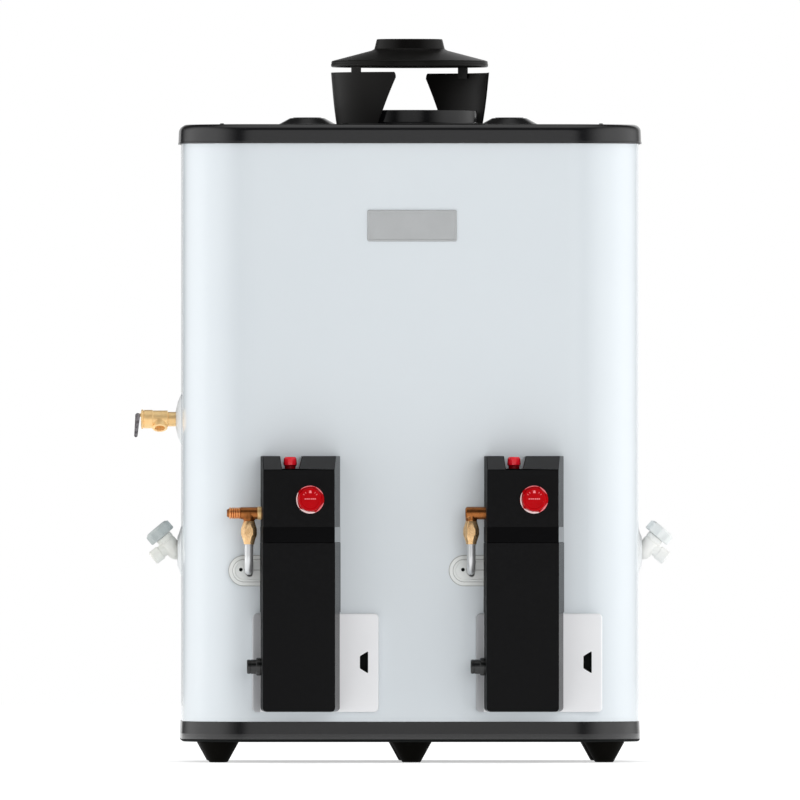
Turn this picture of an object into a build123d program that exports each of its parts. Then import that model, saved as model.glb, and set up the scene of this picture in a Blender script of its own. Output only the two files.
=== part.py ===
from build123d import *
import math
import os

os.makedirs("parts", exist_ok=True)

# A floor-standing storage water heater with two burner tanks in one enamelled casing.
# Millimetres, +Z up, front towards -Y, origin on the floor under the middle of the casing.

# Tanks, side by side: with the gaps round them they set the casing's width and depth
tank_radius = 150.0
tank_wall = 3.0
tank_side_gap = 22.5
tank_middle_gap = 30.0
tank_front_gap = 30.0
tank_top_gap = 97.5

# Feet and bottom pan
foot_height = 30.3
foot_top_radius = 29.5
foot_bottom_radius = 13.5
foot_toe_edge = 3.0
foot_inset_x = 52.5
foot_inset_y = 55.0
pan_height = 30.1
pan_wall = 1.7
pan_floor = 2.0
pan_edge = 3.0
air_hole_radius = 11.0
air_hole_circle = 44.0
air_hole_count = 8

# Casing and top cover
casing_corner = 110.0
casing_wall = 1.2
casing_shown_height = 853.8
casing_fit = 0.3
cover_height = 28.3
cover_lip = 4.2
cover_draft = 2.0
cover_edge = 10.5
cover_sheet = 2.0
cover_overlap = 15.0
cover_ledge = 12.0
hole_clearance = 0.3
cut_over = 1.0

# Water sockets on the top cover
socket_inset = 15.0
socket_y = 85.0
socket_outer_radius = 16.5
socket_thread_radius = 12.1
socket_thread_depth = 20.0
socket_waterway_radius = 9.0
socket_inside = 12.0
boss_base_radius = 45.0
boss_top_radius = 24.0
boss_height = 11.5

# Flue hood
flue_ring_radius = 100.0
flue_ring_height = 21.8
hood_sheet = 2.0
hood_flange_radius = 119.0
hood_flange_thickness = 1.5
leg_bottom_radius = 110.0
leg_top_radius = 116.5
leg_height = 76.5
leg_top_half_width = 78.0
leg_bottom_half_width = 46.5
leg_shoulder = 8.0
leg_turn = 36.0
leg_tab_turn = 45.0
leg_tab_width = 18.5
leg_tab_root = 8.0
cap_gap = 8.0
cap_rim_inset = 1.0
cap_rim_height = 9.0
cap_cone_radius = 53.7
cap_cone_height = 15.6
collar_radius = 48.0
collar_neck_height = 5.0
collar_height = 12.0

# Flue, domes and what the tanks hold
flue_radius = 50.0
flue_wall = 3.0
flue_top_gap = 40.5
top_dome_rise = 45.0
floor_dome_rise = 40.0
dome_fullness = 0.72
dome_swell = 10.0
water_floor_rise = 9.0
skirt_window_half_width = 60.0
skirt_window_head = 8.6
skirt_window_foot = 13.0
crossover_radius = 14.0
crossover_low_rise = 44.0
crossover_high_drop = 45.0
crossover_reach = 4.0
insulation_rise = 4.0
anode_radius = 10.0
anode_length = 400.0
anode_y = -85.0
anode_head_radius = 16.0
anode_head_height = 9.0
spud_wall = 6.0
spud_rise = 3.0
dip_tube_radius = 9.0
dip_tube_wall = 1.5
dip_tube_collar = 3.0
dip_tube_rise = 49.0
baffle_width = 58.0
baffle_sheet = 2.0
baffle_fold_height = 55.0
baffle_fold_reach = 26.0
baffle_folds = 8

# Flue collector under the cover
collector_half_width = 62.0
collector_middle_radius = 102.0
collector_height = 34.0
collector_sheet = 1.5
collector_neck_radius = 96.0
collector_neck_rise = 8.0

# Burners
burner_radius = 74.0
burner_hub_radius = 18.0
burner_bottom_z = 108.0
burner_height = 24.0
burner_cone_width = 6.0
burner_rim_width = 14.0
burner_rim_rise = 5.0
burner_well_width = 12.0
burner_well_depth = 6.0
burner_hub_rise = 3.0
burner_slots = 12
burner_slot_width = 5.0
burner_slot_inset = 4.0
burner_leg_radius = 5.0
burner_leg_circle = 52.0
burner_leg_count = 3
burner_leg_turn = 30.0
burner_leg_rise = 10.0
mixer_radius = 11.0
mixer_reach = 100.0
mixer_rise = 12.0
feed_radius = 5.0
feed_gap = 18.0
pilot_radius = 2.5
sensor_radius = 1.8
pilot_offset = -14.0
sensor_offset = -24.0
pilot_tip_rise = 42.0
line_clearance = 0.2

# Control units, stacked from the lower cover up
tube_cover_lift = 15.2
tube_cover_height = 249.6
tube_cover_width = 119.0
unit_taper = 5.9
tube_cover_depth = 83.0
tube_cover_corner = 6.0
control_cover_height = 127.5
control_cover_step = 0.75
control_cover_depth = 85.0
control_bevel_height = 20.1
control_bevel_depth = 22.0
cover_wall = 2.5
button_notch_left = -30.8
button_notch_right = 1.2
button_notch_floor_left = -28.6
button_notch_floor_right = -4.1
button_notch_height = 19.1
button_notch_depth = 48.0

valve_half_width = 46.0
valve_height = 78.5
valve_head_gap = 24.2
valve_back_gap = 3.0
valve_front = 70.0
valve_chamfer = 8.0
valve_axis_out = 42.0
valve_inlet_radius = 12.0
valve_inlet_reach = 48.0
valve_inlet_rise = 18.4
shank_radius = 13.0
shank_rise = 38.5
probe_radius = 5.0
spindle_radius = 6.0
spindle_reach = 14.0
running_clearance = 0.05

dial_x = 12.9
dial_radius = 22.0
dial_face_radius = 19.5
dial_height = 19.0
dial_band = 4.0
dial_edge = 2.0
dial_gap = 0.6
dial_grip_count = 12
dial_grip_radius = 2.2
dial_grip_out = 1.0

pilot_button_x = -16.0
pilot_button_out = 55.0
pilot_button_radius = 10.0
pilot_button_gap = 6.3
pilot_button_height = 16.7
pilot_button_facets = 10
pilot_button_edge = 1.2
pilot_stem_radius = 3.0
pilot_stem_length = 11.0
pilot_travel = 5.5

igniter_rise = 66.4
igniter_out = 45.0
igniter_collar_radius = 13.25
igniter_collar_length = 6.7
igniter_barrel_radius = 12.0
igniter_barrel_length = 36.0
igniter_button_radius = 10.65
igniter_button_proud = 11.0
igniter_button_depth = 4.0
igniter_button_edge = 1.5
igniter_stem_radius = 4.0
igniter_stem_length = 18.0
igniter_travel = 8.0
igniter_end_gap = 2.0
igniter_fit = 0.1

# Sliding access doors
door_left = -70.9
door_right = 115.4
door_drop = 0.9
door_height = 145.5
door_depth = 12.0
door_sheet = 1.2
door_corner = 6.5
door_front_edge = 2.0
door_lip = 5.0
door_gap = 0.4
door_cover_gap = 0.8
rail_sheet = 1.2
rail_web = 2.0
rail_end_gap = 5.0
grip_slot_left = 87.3
grip_slot_right = 99.8
grip_long_low = 57.2
grip_long_high = 89.9
grip_short_low = 64.0
grip_short_high = 81.7
access_left = -50.0
access_right = 95.0
access_sill = 17.3
access_head = 15.2

# Gas fittings
branch_offset = -73.5
fitting_radius = 8.5
tee_band_reach = 2.0
tee_band_proud = 1.2
flare_radius = 7.94
flare_length = 18.0
gas_inlet_reach = 104.4
fitting_bore_radius = 4.5
nut_drop = 11.7
nut_flat_height = 22.7
nut_cone_height = 11.5
nut_flat_radius = 10.2
nut_cone_radius = 7.6
bridge_radius = 6.35
bridge_under_cover = 41.8
bridge_in_nut = 6.7
bridge_inside = 17.0
bridge_drop = 50.0
bridge_bend = 22.0
bridge_tight_bend = 15.0
port_plate_width = 120.0
port_plate_height = 44.0
port_plate_centre = -40.0
port_plate_sheet = 1.5
port_rise_inset = 8.0
port_opening_width = 100.0
port_opening_height = 28.0

# Relief valve on the left side
relief_z = 507.0
relief_neck_radius = 10.75
relief_neck_end = 20.8
relief_body_radius = 12.8
relief_body_end = 43.6
relief_collar_radius = 14.25
relief_collar_end = 60.5
relief_collar_edge = 1.5
relief_inside = 7.0
relief_outlet_radius = 11.3
relief_outlet_bore = 8.5
relief_outlet_place = 32.7
relief_outlet_reach = 15.5
relief_outlet_depth = 10.0
relief_outlet_turn = 30.0
rosette_radius = 36.75
rosette_rise = 9.0
rosette_sheet = 1.5
lever_pivot_out = 64.5
lever_pivot_rise = 6.0
lever_length = 34.0
lever_half_width = 2.6
lever_inner_half = 3.3
lever_cheek = 2.0
lever_lean = 6.8
lever_web_start = 8.0
lever_web = 1.6
tongue_radius = 4.0
tongue_half = 3.0
tongue_root = 2.0
pin_radius = 1.5
pin_proud = 0.8

# Drain cocks on both sides
drain_rise = 10.5
drain_out = 9.5
drain_shank_radius = 10.0
drain_body_radius = 12.5
drain_body_length = 28.0
drain_rise_angle = 49.8
drain_outlet_place = 12.0
drain_outlet_angle = 38.0
drain_outlet_neck = 9.4
drain_outlet_radius = 10.65
drain_outlet_reach = 33.0
drain_outlet_end = 15.0
drain_outlet_bore = 7.0
drain_outlet_depth = 14.0
drain_rosette_rise = 6.5
drain_rosette_mouth = 20.0
drain_casing_hole = 16.0
knob_radius = 19.0
knob_grip_radius = 21.0
knob_height = 17.0
knob_gap = 0.4
knob_lobes = 8
knob_lobe_inset = 3.0
knob_crown = 3.0
knob_crown_inset = 2.0
knob_stem_radius = 4.0
knob_stem_depth = 9.0
knob_stem_gap = 1.0

# Nameplate
plate_width = 132.5
plate_height = 46.6
plate_thickness = 2.5
plate_corner = 3.0
plate_drop = 121.7
plate_edge = 0.6

# Widths and depths worked out from the sizes above
casing_width = 4 * tank_radius + 2 * tank_side_gap + tank_middle_gap
casing_depth = 2 * (tank_radius + tank_front_gap)
unit_x = tank_radius + tank_middle_gap / 2
socket_x = unit_x - socket_inset
foot_x = casing_width / 2 - foot_inset_x
foot_y = casing_depth / 2 - foot_inset_y
front = -casing_depth / 2
side = casing_width / 2
control_front = front - control_cover_depth
control_cover_width = tube_cover_width - 2 * control_cover_step
tube_cover_front_width = tube_cover_width - 2 * unit_taper
control_cover_front_width = control_cover_width - 2 * unit_taper
cap_rim_radius = leg_top_radius - cap_rim_inset
valve_axis_y = front - valve_axis_out
bridge_inside_y = front + bridge_inside

# Levels of the casing and the hood, from the floor up
pan_top = foot_height + pan_height
casing_bottom = foot_height + pan_floor
cover_bottom = pan_top + casing_shown_height
cover_top = cover_bottom + cover_height
casing_top = cover_bottom + cover_overlap
plate_z = cover_bottom - plate_drop
leg_base = cover_top + hood_flange_thickness
leg_top = leg_base + leg_height
cap_base = leg_top + cap_gap
cap_shoulder = cap_base + cap_rim_height
cap_neck = cap_shoulder + cap_cone_height
collar_base = cap_neck + collar_neck_height
collar_top = collar_base + collar_height

# Levels of the control units
tube_cover_bottom = pan_top + tube_cover_lift
control_cover_bottom = tube_cover_bottom + tube_cover_height
control_cover_top = control_cover_bottom + control_cover_height
control_bevel_bottom = control_cover_top - control_bevel_height
button_notch_floor = control_cover_top - button_notch_height
valve_top = control_cover_top - valve_head_gap
valve_bottom = valve_top - valve_height
shank_z = valve_bottom + shank_rise
gas_z = valve_bottom + valve_inlet_rise
pilot_button_bottom = valve_top + pilot_button_gap
igniter_z = tube_cover_bottom + igniter_rise
door_bottom = tube_cover_bottom - door_drop
door_top = door_bottom + door_height
access_bottom = door_bottom + access_sill
access_top = door_top - access_head
nut_top = gas_z - nut_drop
nut_cone_top = nut_top - nut_flat_height
nut_bottom = nut_cone_top - nut_cone_height
bridge_top_z = nut_top - bridge_in_nut
bridge_z = control_cover_bottom - bridge_under_cover

# Levels inside the tanks
mixer_z = burner_bottom_z + mixer_rise
pilot_tip_z = burner_bottom_z + pilot_tip_rise
skirt_window_bottom = burner_bottom_z - skirt_window_foot
skirt_window_top = bridge_z + skirt_window_head
water_floor_z = skirt_window_top + water_floor_rise
insulation_bottom = water_floor_z + insulation_rise
drain_z = water_floor_z + drain_rise
crossover_low_z = water_floor_z + crossover_low_rise
dip_tube_end_z = water_floor_z + dip_tube_rise
shoulder_z = cover_top - tank_top_gap
crossover_high_z = shoulder_z - crossover_high_drop
dome_top_z = shoulder_z + top_dome_rise
spud_top = dome_top_z + spud_rise
flue_top = cover_top - flue_top_gap
lid_z = flue_top + collector_height - collector_sheet

units = (("left", -unit_x), ("right", unit_x))
sides = (("left", -1), ("right", 1))


# Shared shapes
def rounded_prism(width, depth, corner, bottom, top, taper=0.0):
    outline = Plane.XY.offset(bottom) * RectangleRounded(width, depth, corner)
    return extrude(outline, top - bottom, taper=taper)


def block(x0, x1, y0, y1, z0, z1):
    middle = Pos((x0 + x1) / 2, (y0 + y1) / 2, (z0 + z1) / 2)
    return middle * Box(x1 - x0, y1 - y0, z1 - z0)


def rod(radius, start, end):
    axis = Vector(*end) - Vector(*start)
    return extrude(Plane(origin=start, z_dir=axis) * Circle(radius), axis.length)


def turned(points, x=0.0, y=0.0):
    face = make_face(Plane.XZ * Polyline(*points, close=True))
    return Pos(x, y, 0) * revolve(face, Axis.Z)


def bent_tube(points, bend, radius):
    path = FilletPolyline(*points, radius=bend)
    section = Plane(origin=path @ 0, z_dir=path % 0) * Circle(radius)
    return sweep(section, path=path)


def facing_front(sketch, y, depth):
    return extrude(Plane(origin=(0, y, 0), x_dir=(1, 0, 0), z_dir=(0, -1, 0)) * sketch, depth)


def outward(plane_side, reach, z, y=0.0):
    return (plane_side * (side + reach), y, z)


# Base
def make_feet():
    feet = []
    for column in (-1, 0, 1):
        for row in (-1, 1):
            foot = Cone(foot_bottom_radius, foot_top_radius, foot_height)
            foot = fillet(foot.edges().group_by(Axis.Z)[0], foot_toe_edge)
            place = Pos(column * foot_x, row * foot_y, foot_height / 2)
            feet.append(place * foot)
    return Compound(feet)


def make_bottom_pan():
    grow = casing_fit + pan_wall
    width = casing_width + 2 * grow
    depth = casing_depth + 2 * grow
    pan = rounded_prism(width, depth, casing_corner + grow, foot_height, pan_top)
    pan = fillet(pan.edges().group_by(Axis.Z)[0], pan_edge)
    pan -= rounded_prism(
        width - 2 * pan_wall,
        depth - 2 * pan_wall,
        casing_corner + casing_fit,
        casing_bottom,
        pan_top,
    )
    for _, x in units:
        holes = Pos(x, 0, foot_height) * PolarLocations(air_hole_circle, air_hole_count)
        for spot in holes:
            pan -= spot * Cylinder(air_hole_radius, 4 * pan_floor)
    return pan


# Casing and its holes
def make_outer_casing():
    inner_corner = casing_corner - casing_wall
    casing = rounded_prism(casing_width, casing_depth, casing_corner, casing_bottom, casing_top)
    casing -= rounded_prism(
        casing_width - 2 * casing_wall,
        casing_depth - 2 * casing_wall,
        inner_corner,
        casing_bottom,
        casing_top,
    )
    for _, x in units:
        reach = 4 * casing_wall
        shank = shank_radius + hole_clearance
        casing -= rod(shank, (x, front - reach, shank_z), (x, front + reach, shank_z))
        port = SlotOverall(port_opening_width, port_opening_height)
        port = Pos(x + port_plate_centre, bridge_z) * port
        casing -= facing_front(port, front + reach, 2 * reach)
        casing -= block(
            x + access_left, x + access_right, front - reach, front + reach, access_bottom, access_top
        )
    neck = relief_neck_radius + hole_clearance
    casing -= rod(neck, outward(-1, -reach, relief_z), outward(-1, reach, relief_z))
    for _, hand in sides:
        casing -= rod(drain_casing_hole, outward(hand, -reach, drain_z), outward(hand, reach, drain_z))
    return casing


def make_top_cover():
    grow = casing_fit + cover_lip
    cover = rounded_prism(
        casing_width + 2 * grow,
        casing_depth + 2 * grow,
        casing_corner + grow,
        cover_bottom,
        cover_top,
        cover_draft,
    )
    cover = fillet(cover.edges().group_by(Axis.Z)[-1], cover_edge)
    cover -= rounded_prism(
        casing_width + 2 * casing_fit,
        casing_depth + 2 * casing_fit,
        casing_corner + casing_fit,
        cover_bottom,
        casing_top,
    )
    cover -= rounded_prism(
        casing_width - 2 * cover_ledge,
        casing_depth - 2 * cover_ledge,
        casing_corner - cover_ledge,
        casing_top,
        cover_top - cover_sheet,
    )
    cover -= Pos(0, 0, cover_top) * Cylinder(collector_neck_radius + hole_clearance, 4 * cover_sheet)
    for _, hand in sides:
        place = Pos(hand * socket_x, socket_y, cover_top + boss_height / 2)
        cover += place * Cone(boss_base_radius, boss_top_radius, boss_height)
        through = 2 * boss_height + 4 * cover_sheet
        cover -= place * Cylinder(socket_outer_radius + hole_clearance, through)
    return cover


def make_nameplate():
    outline = Pos(0, plate_z) * RectangleRounded(plate_width, plate_height, plate_corner)
    plate = facing_front(outline, front, plate_thickness)
    return chamfer(plate.edges().group_by(Axis.Y)[0], plate_edge)


# Flue hood on the cover
def make_hood_ring():
    inner = flue_ring_radius - hood_sheet
    return turned(
        [
            (inner, cover_top),
            (hood_flange_radius, cover_top),
            (hood_flange_radius, leg_base),
            (flue_ring_radius, leg_base),
            (flue_ring_radius, cover_top + flue_ring_height),
            (inner, cover_top + flue_ring_height),
        ]
    )


def make_hood_leg(turn):
    wall = turned(
        [
            (leg_bottom_radius - hood_sheet, leg_base),
            (leg_bottom_radius, leg_base),
            (leg_top_radius, leg_top),
            (leg_top_radius - hood_sheet, leg_top),
        ]
    )
    outline = Polyline(
        (-leg_bottom_half_width, leg_base),
        (-leg_top_half_width, leg_top - leg_shoulder),
        (-leg_top_half_width, leg_top),
        (leg_top_half_width, leg_top),
        (leg_top_half_width, leg_top - leg_shoulder),
        (leg_bottom_half_width, leg_base),
        close=True,
    )
    window = facing_front(make_face(outline), 0, leg_top_radius + hood_sheet)
    leg = Rot(0, 0, leg_turn - 90) * (wall & window)
    inner_radius = cap_rim_radius - hood_sheet
    tab = turned(
        [
            (inner_radius, leg_top - leg_tab_root),
            (cap_rim_radius, leg_top - leg_tab_root),
            (cap_rim_radius, cap_base),
            (inner_radius, cap_base),
        ]
    )
    half_tab = leg_tab_width / 2
    tab_end = -cap_rim_radius - cut_over
    tab &= block(tab_end, 0, -half_tab, half_tab, leg_top - leg_tab_root, cap_base)
    leg += Rot(0, 0, leg_tab_turn) * tab
    return Rot(0, 0, turn) * leg


def make_hood_cap():
    inner_rim = cap_rim_radius - hood_sheet
    inner_collar = collar_radius - hood_sheet
    return turned(
        [
            (inner_rim, cap_base),
            (cap_rim_radius, cap_base),
            (cap_rim_radius, cap_shoulder),
            (cap_cone_radius, cap_neck),
            (collar_radius, collar_base),
            (collar_radius, collar_top),
            (inner_collar, collar_top),
            (inner_collar, collar_base - hood_sheet / 2),
            (cap_cone_radius - hood_sheet, cap_neck - hood_sheet),
            (inner_rim, cap_shoulder - hood_sheet / 2),
        ]
    )


# Tanks and what they hold
def dome_middle(reach, rise, swell=0.0):
    return ((reach + flue_radius) / 2 + swell, dome_fullness * rise)


def tank_section():
    inner_wall = tank_radius - tank_wall
    inner_flue = flue_radius - flue_wall
    floor_z = water_floor_z - tank_wall
    outer = Polyline(
        (tank_radius, shoulder_z),
        (tank_radius, casing_bottom),
        (inner_wall, casing_bottom),
        (inner_wall, floor_z),
    )
    middle_x, middle_rise = dome_middle(inner_wall, floor_dome_rise)
    floor_arc = ThreePointArc(
        (inner_wall, floor_z),
        (middle_x, floor_z + middle_rise),
        (inner_flue, floor_z + floor_dome_rise),
    )
    flue_lines = Polyline(
        (inner_flue, floor_z + floor_dome_rise),
        (inner_flue, flue_top),
        (flue_radius, flue_top),
        (flue_radius, dome_top_z),
    )
    middle_x, middle_rise = dome_middle(tank_radius, top_dome_rise, dome_swell)
    top_arc = ThreePointArc(
        (flue_radius, dome_top_z),
        (middle_x, shoulder_z + middle_rise),
        (tank_radius, shoulder_z),
    )
    return make_face(Plane.XZ * Curve([outer, floor_arc, flue_lines, top_arc]))


def water_section():
    reach = tank_radius - tank_wall
    shoulder = shoulder_z - tank_wall
    dome_top = dome_top_z - tank_wall
    wall = Polyline((reach, shoulder), (reach, water_floor_z))
    middle_x, middle_rise = dome_middle(reach, floor_dome_rise)
    floor_arc = ThreePointArc(
        (reach, water_floor_z),
        (middle_x, water_floor_z + middle_rise),
        (flue_radius, water_floor_z + floor_dome_rise),
    )
    flue_line = Polyline((flue_radius, water_floor_z + floor_dome_rise), (flue_radius, dome_top))
    middle_x, middle_rise = dome_middle(tank_radius, top_dome_rise, dome_swell)
    top_arc = ThreePointArc(
        (flue_radius, dome_top),
        (middle_x, shoulder + middle_rise),
        (reach, shoulder),
    )
    return make_face(Plane.XZ * Curve([wall, floor_arc, flue_line, top_arc]))


def make_tank(x, hand):
    tank = Pos(x, 0, 0) * revolve(tank_section() - water_section(), Axis.Z)
    half_window = skirt_window_half_width
    tank -= block(
        x - half_window, x + half_window, -tank_radius, 0, skirt_window_bottom, skirt_window_top
    )
    deep = tank_radius - 8 * tank_wall
    shank = shank_radius + hole_clearance
    tank -= rod(shank, (x, -tank_radius - cut_over, shank_z), (x, -deep, shank_z))
    drain = drain_shank_radius + hole_clearance
    tank -= rod(drain, (x + hand * deep, 0, drain_z), (x + hand * tank_radius, 0, drain_z))
    if hand < 0:
        neck = relief_neck_radius + hole_clearance
        tank -= rod(neck, (x - deep, 0, relief_z), (x - tank_radius, 0, relief_z))
    hole = crossover_radius + hole_clearance
    for z in (crossover_low_z, crossover_high_z):
        tank -= rod(hole, (x - hand * deep, 0, z), (x - hand * tank_radius, 0, z))
    spud_foot = shoulder_z + top_dome_rise / 2
    for radius, spud_x, y in (
        (socket_outer_radius, hand * socket_x, socket_y),
        (anode_radius, x, anode_y),
    ):
        hole = radius + hole_clearance
        tank += rod(hole + spud_wall, (spud_x, y, spud_foot), (spud_x, y, spud_top))
        tank -= rod(hole, (spud_x, y, shoulder_z), (spud_x, y, spud_top))
    return tank


def make_insulation():
    gap = casing_wall + casing_fit
    filling = rounded_prism(
        casing_width - 2 * gap,
        casing_depth - 2 * gap,
        casing_corner - gap,
        insulation_bottom,
        shoulder_z,
    )
    middle = (insulation_bottom + shoulder_z) / 2
    for _, x in units:
        filling -= Pos(x, 0, middle) * Cylinder(tank_radius + casing_fit, shoulder_z)
        shank = shank_radius + hole_clearance
        filling -= rod(shank, (x, front, shank_z), (x, 0, shank_z))
    for _, hand in sides:
        filling -= rod(drain_casing_hole, outward(hand, 0, drain_z), (hand * unit_x, 0, drain_z))
    neck = relief_neck_radius + hole_clearance
    filling -= rod(neck, outward(-1, 0, relief_z), (-unit_x, 0, relief_z))
    for z in (crossover_low_z, crossover_high_z):
        hole = crossover_radius + hole_clearance
        filling -= rod(hole, (-unit_x, 0, z), (unit_x, 0, z))
    return filling


def make_crossovers():
    pipes = []
    for z in (crossover_low_z, crossover_high_z):
        half = unit_x - tank_radius + crossover_reach + tank_wall
        pipes.append(rod(crossover_radius, (-half, 0, z), (half, 0, z)))
    return Compound(pipes)


def make_anode(x):
    head = extrude(RegularPolygon(anode_head_radius, 6), anode_head_height)
    anode = Pos(x, anode_y, spud_top) * head
    return anode + rod(anode_radius, (x, anode_y, spud_top), (x, anode_y, spud_top - anode_length))


def make_water_socket(hand):
    x = hand * socket_x
    top = cover_top + boss_height
    bottom = shoulder_z + socket_inside
    socket = rod(socket_outer_radius, (x, socket_y, bottom), (x, socket_y, top))
    socket -= rod(socket_waterway_radius, (x, socket_y, bottom), (x, socket_y, top))
    socket -= rod(socket_thread_radius, (x, socket_y, top - socket_thread_depth), (x, socket_y, top))
    return socket


def make_dip_tube():
    x = -socket_x
    top = shoulder_z + socket_inside
    foot = (x, socket_y, dip_tube_end_z)
    tube = rod(dip_tube_radius, foot, (x, socket_y, top))
    collar = dip_tube_radius + dip_tube_collar
    tube += rod(collar, (x, socket_y, top - dip_tube_collar), (x, socket_y, top))
    return tube - rod(dip_tube_radius - dip_tube_wall, foot, (x, socket_y, top))


def make_flue_baffle(x):
    top = flue_top - collector_sheet
    spine = [(0, top)]
    for fold in range(baffle_folds):
        reach = baffle_fold_reach if fold % 2 == 0 else -baffle_fold_reach
        spine.append((reach, top - (fold + 0.5) * baffle_fold_height))
    spine.append((0, top - baffle_folds * baffle_fold_height))
    far_side = [(reach + baffle_sheet, z) for reach, z in reversed(spine)]
    strip = make_face(Polyline(*(spine + far_side), close=True))
    baffle = Pos(x, baffle_width / 2, 0) * facing_front(strip, 0, baffle_width)
    bar = flue_radius - flue_wall - hole_clearance
    hanger = block(-bar, bar, -baffle_width / 4, baffle_width / 4, top - 2 * baffle_sheet, top)
    hanger &= Pos(0, 0, top) * Cylinder(bar, 6 * baffle_sheet)
    return baffle + Pos(x, 0, 0) * hanger


def collector_outline(inset):
    reach = unit_x + collector_half_width - inset
    outline = SlotOverall(2 * reach, 2 * (collector_half_width - inset))
    return outline + Circle(collector_middle_radius - inset)


def make_flue_collector():
    tray = extrude(Plane.XY.offset(flue_top) * collector_outline(0), lid_z - flue_top)
    hollow = Plane.XY.offset(flue_top + collector_sheet) * collector_outline(collector_sheet)
    tray -= extrude(hollow, collector_height)
    for _, x in units:
        tray -= Pos(x, 0, flue_top) * Cylinder(flue_radius - flue_wall, 4 * collector_sheet)
    return tray


def make_collector_lid():
    inner = collector_neck_radius - collector_sheet
    neck_top = cover_top + collector_neck_rise
    lid = extrude(Plane.XY.offset(lid_z) * collector_outline(0), collector_sheet)
    lid += Pos(0, 0, (lid_z + neck_top) / 2) * Cylinder(collector_neck_radius, neck_top - lid_z)
    return lid - Pos(0, 0, (lid_z + neck_top) / 2) * Cylinder(inner, neck_top - lid_z + cut_over)


# Burners and their lines
def make_burner(x):
    top = burner_bottom_z + burner_height
    burner = turned(
        [
            (0, burner_bottom_z),
            (burner_hub_radius + burner_cone_width, burner_bottom_z),
            (burner_radius, burner_bottom_z + burner_height / 2),
            (burner_radius, top),
            (burner_radius - burner_rim_width, top + burner_rim_rise),
            (burner_hub_radius + burner_well_width, top - burner_well_depth),
            (burner_hub_radius, top + burner_hub_rise),
            (0, top + burner_hub_rise),
        ],
        x,
    )
    for spot in Pos(x, 0, top) * PolarLocations(burner_radius - burner_slot_inset, burner_slots):
        burner -= spot * Box(2 * burner_slot_width, burner_slot_width, burner_slot_width)
    mouth = (x, -mixer_reach, mixer_z)
    burner += rod(mixer_radius, mouth, (x, 0, mixer_z))
    burner -= rod(feed_radius + line_clearance, mouth, (x, 3 * mixer_radius - mixer_reach, mixer_z))
    leg_top_z = burner_bottom_z + burner_leg_rise
    for spot in Pos(x, 0, 0) * PolarLocations(burner_leg_circle, burner_leg_count, burner_leg_turn):
        foot = spot.position
        burner += rod(burner_leg_radius, (foot.X, foot.Y, casing_bottom), (foot.X, foot.Y, leg_top_z))
    return burner


def make_burner_lines(x):
    start = valve_axis_y
    feed_y = -mixer_reach - feed_gap
    feed = bent_tube(
        [
            (x, start, valve_bottom),
            (x, start, bridge_z),
            (x, feed_y, bridge_z),
            (x, feed_y, mixer_z),
            (x, 2 * mixer_radius - mixer_reach, mixer_z),
        ],
        3 * feed_radius,
        feed_radius,
    )
    lines = [feed]
    for offset, radius in ((pilot_offset, pilot_radius), (sensor_offset, sensor_radius)):
        lines.append(
            bent_tube(
                [
                    (x + offset, start, valve_bottom),
                    (x + offset, start, bridge_z),
                    (x + offset, feed_y, bridge_z),
                    (x + offset, feed_y, pilot_tip_z),
                    (x + offset, -burner_radius, pilot_tip_z),
                ],
                2 * feed_radius,
                radius,
            )
        )
    return Compound(lines)


# Control units
def cover_prism(width, front_width, depth, bottom, top, inset):
    slope = (width - front_width) / 2 / depth
    back_half = width / 2 - inset
    front_half = front_width / 2 + slope * inset - inset
    outline = Polyline(
        (-back_half, front),
        (-front_half, front - depth + inset),
        (front_half, front - depth + inset),
        (back_half, front),
        close=True,
    )
    return extrude(Plane.XY.offset(bottom) * make_face(outline), top - bottom)


def make_control_cover(x):
    outer = cover_prism(
        control_cover_width,
        control_cover_front_width,
        control_cover_depth,
        control_cover_bottom,
        control_cover_top,
        0,
    )
    bevel = make_face(
        Plane.YZ
        * Polyline(
            (control_front, control_bevel_bottom),
            (control_front, control_cover_top),
            (control_front + control_bevel_depth, control_cover_top),
            close=True,
        )
    )
    outer -= extrude(bevel, control_cover_width, both=True)
    inner = cover_prism(
        control_cover_width,
        control_cover_front_width,
        control_cover_depth,
        control_cover_bottom,
        control_cover_top - cover_wall,
        cover_wall,
    )
    inner_bevel = Pos(0, cover_wall, -cover_wall / 2) * bevel
    inner -= extrude(inner_bevel, control_cover_width, both=True)
    cover = outer - inner
    notch = make_face(
        Polyline(
            (button_notch_floor_left, button_notch_floor),
            (button_notch_left, control_cover_top),
            (button_notch_right, control_cover_top),
            (button_notch_floor_right, button_notch_floor),
            close=True,
        )
    )
    cover -= facing_front(notch, control_front + button_notch_depth, button_notch_depth)
    deep = control_front + 3 * cover_wall
    cover -= rod(spindle_radius + cut_over, (dial_x, control_front, shank_z), (dial_x, deep, shank_z))
    half_slot = valve_inlet_radius + hole_clearance
    outside = -control_cover_width / 2
    inside = -valve_half_width
    cover -= block(outside, inside, valve_axis_y, front, gas_z - half_slot, gas_z + half_slot)
    cover -= rod(half_slot, (outside, valve_axis_y, gas_z), (inside, valve_axis_y, gas_z))
    return Pos(x, 0, 0) * cover


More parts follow.
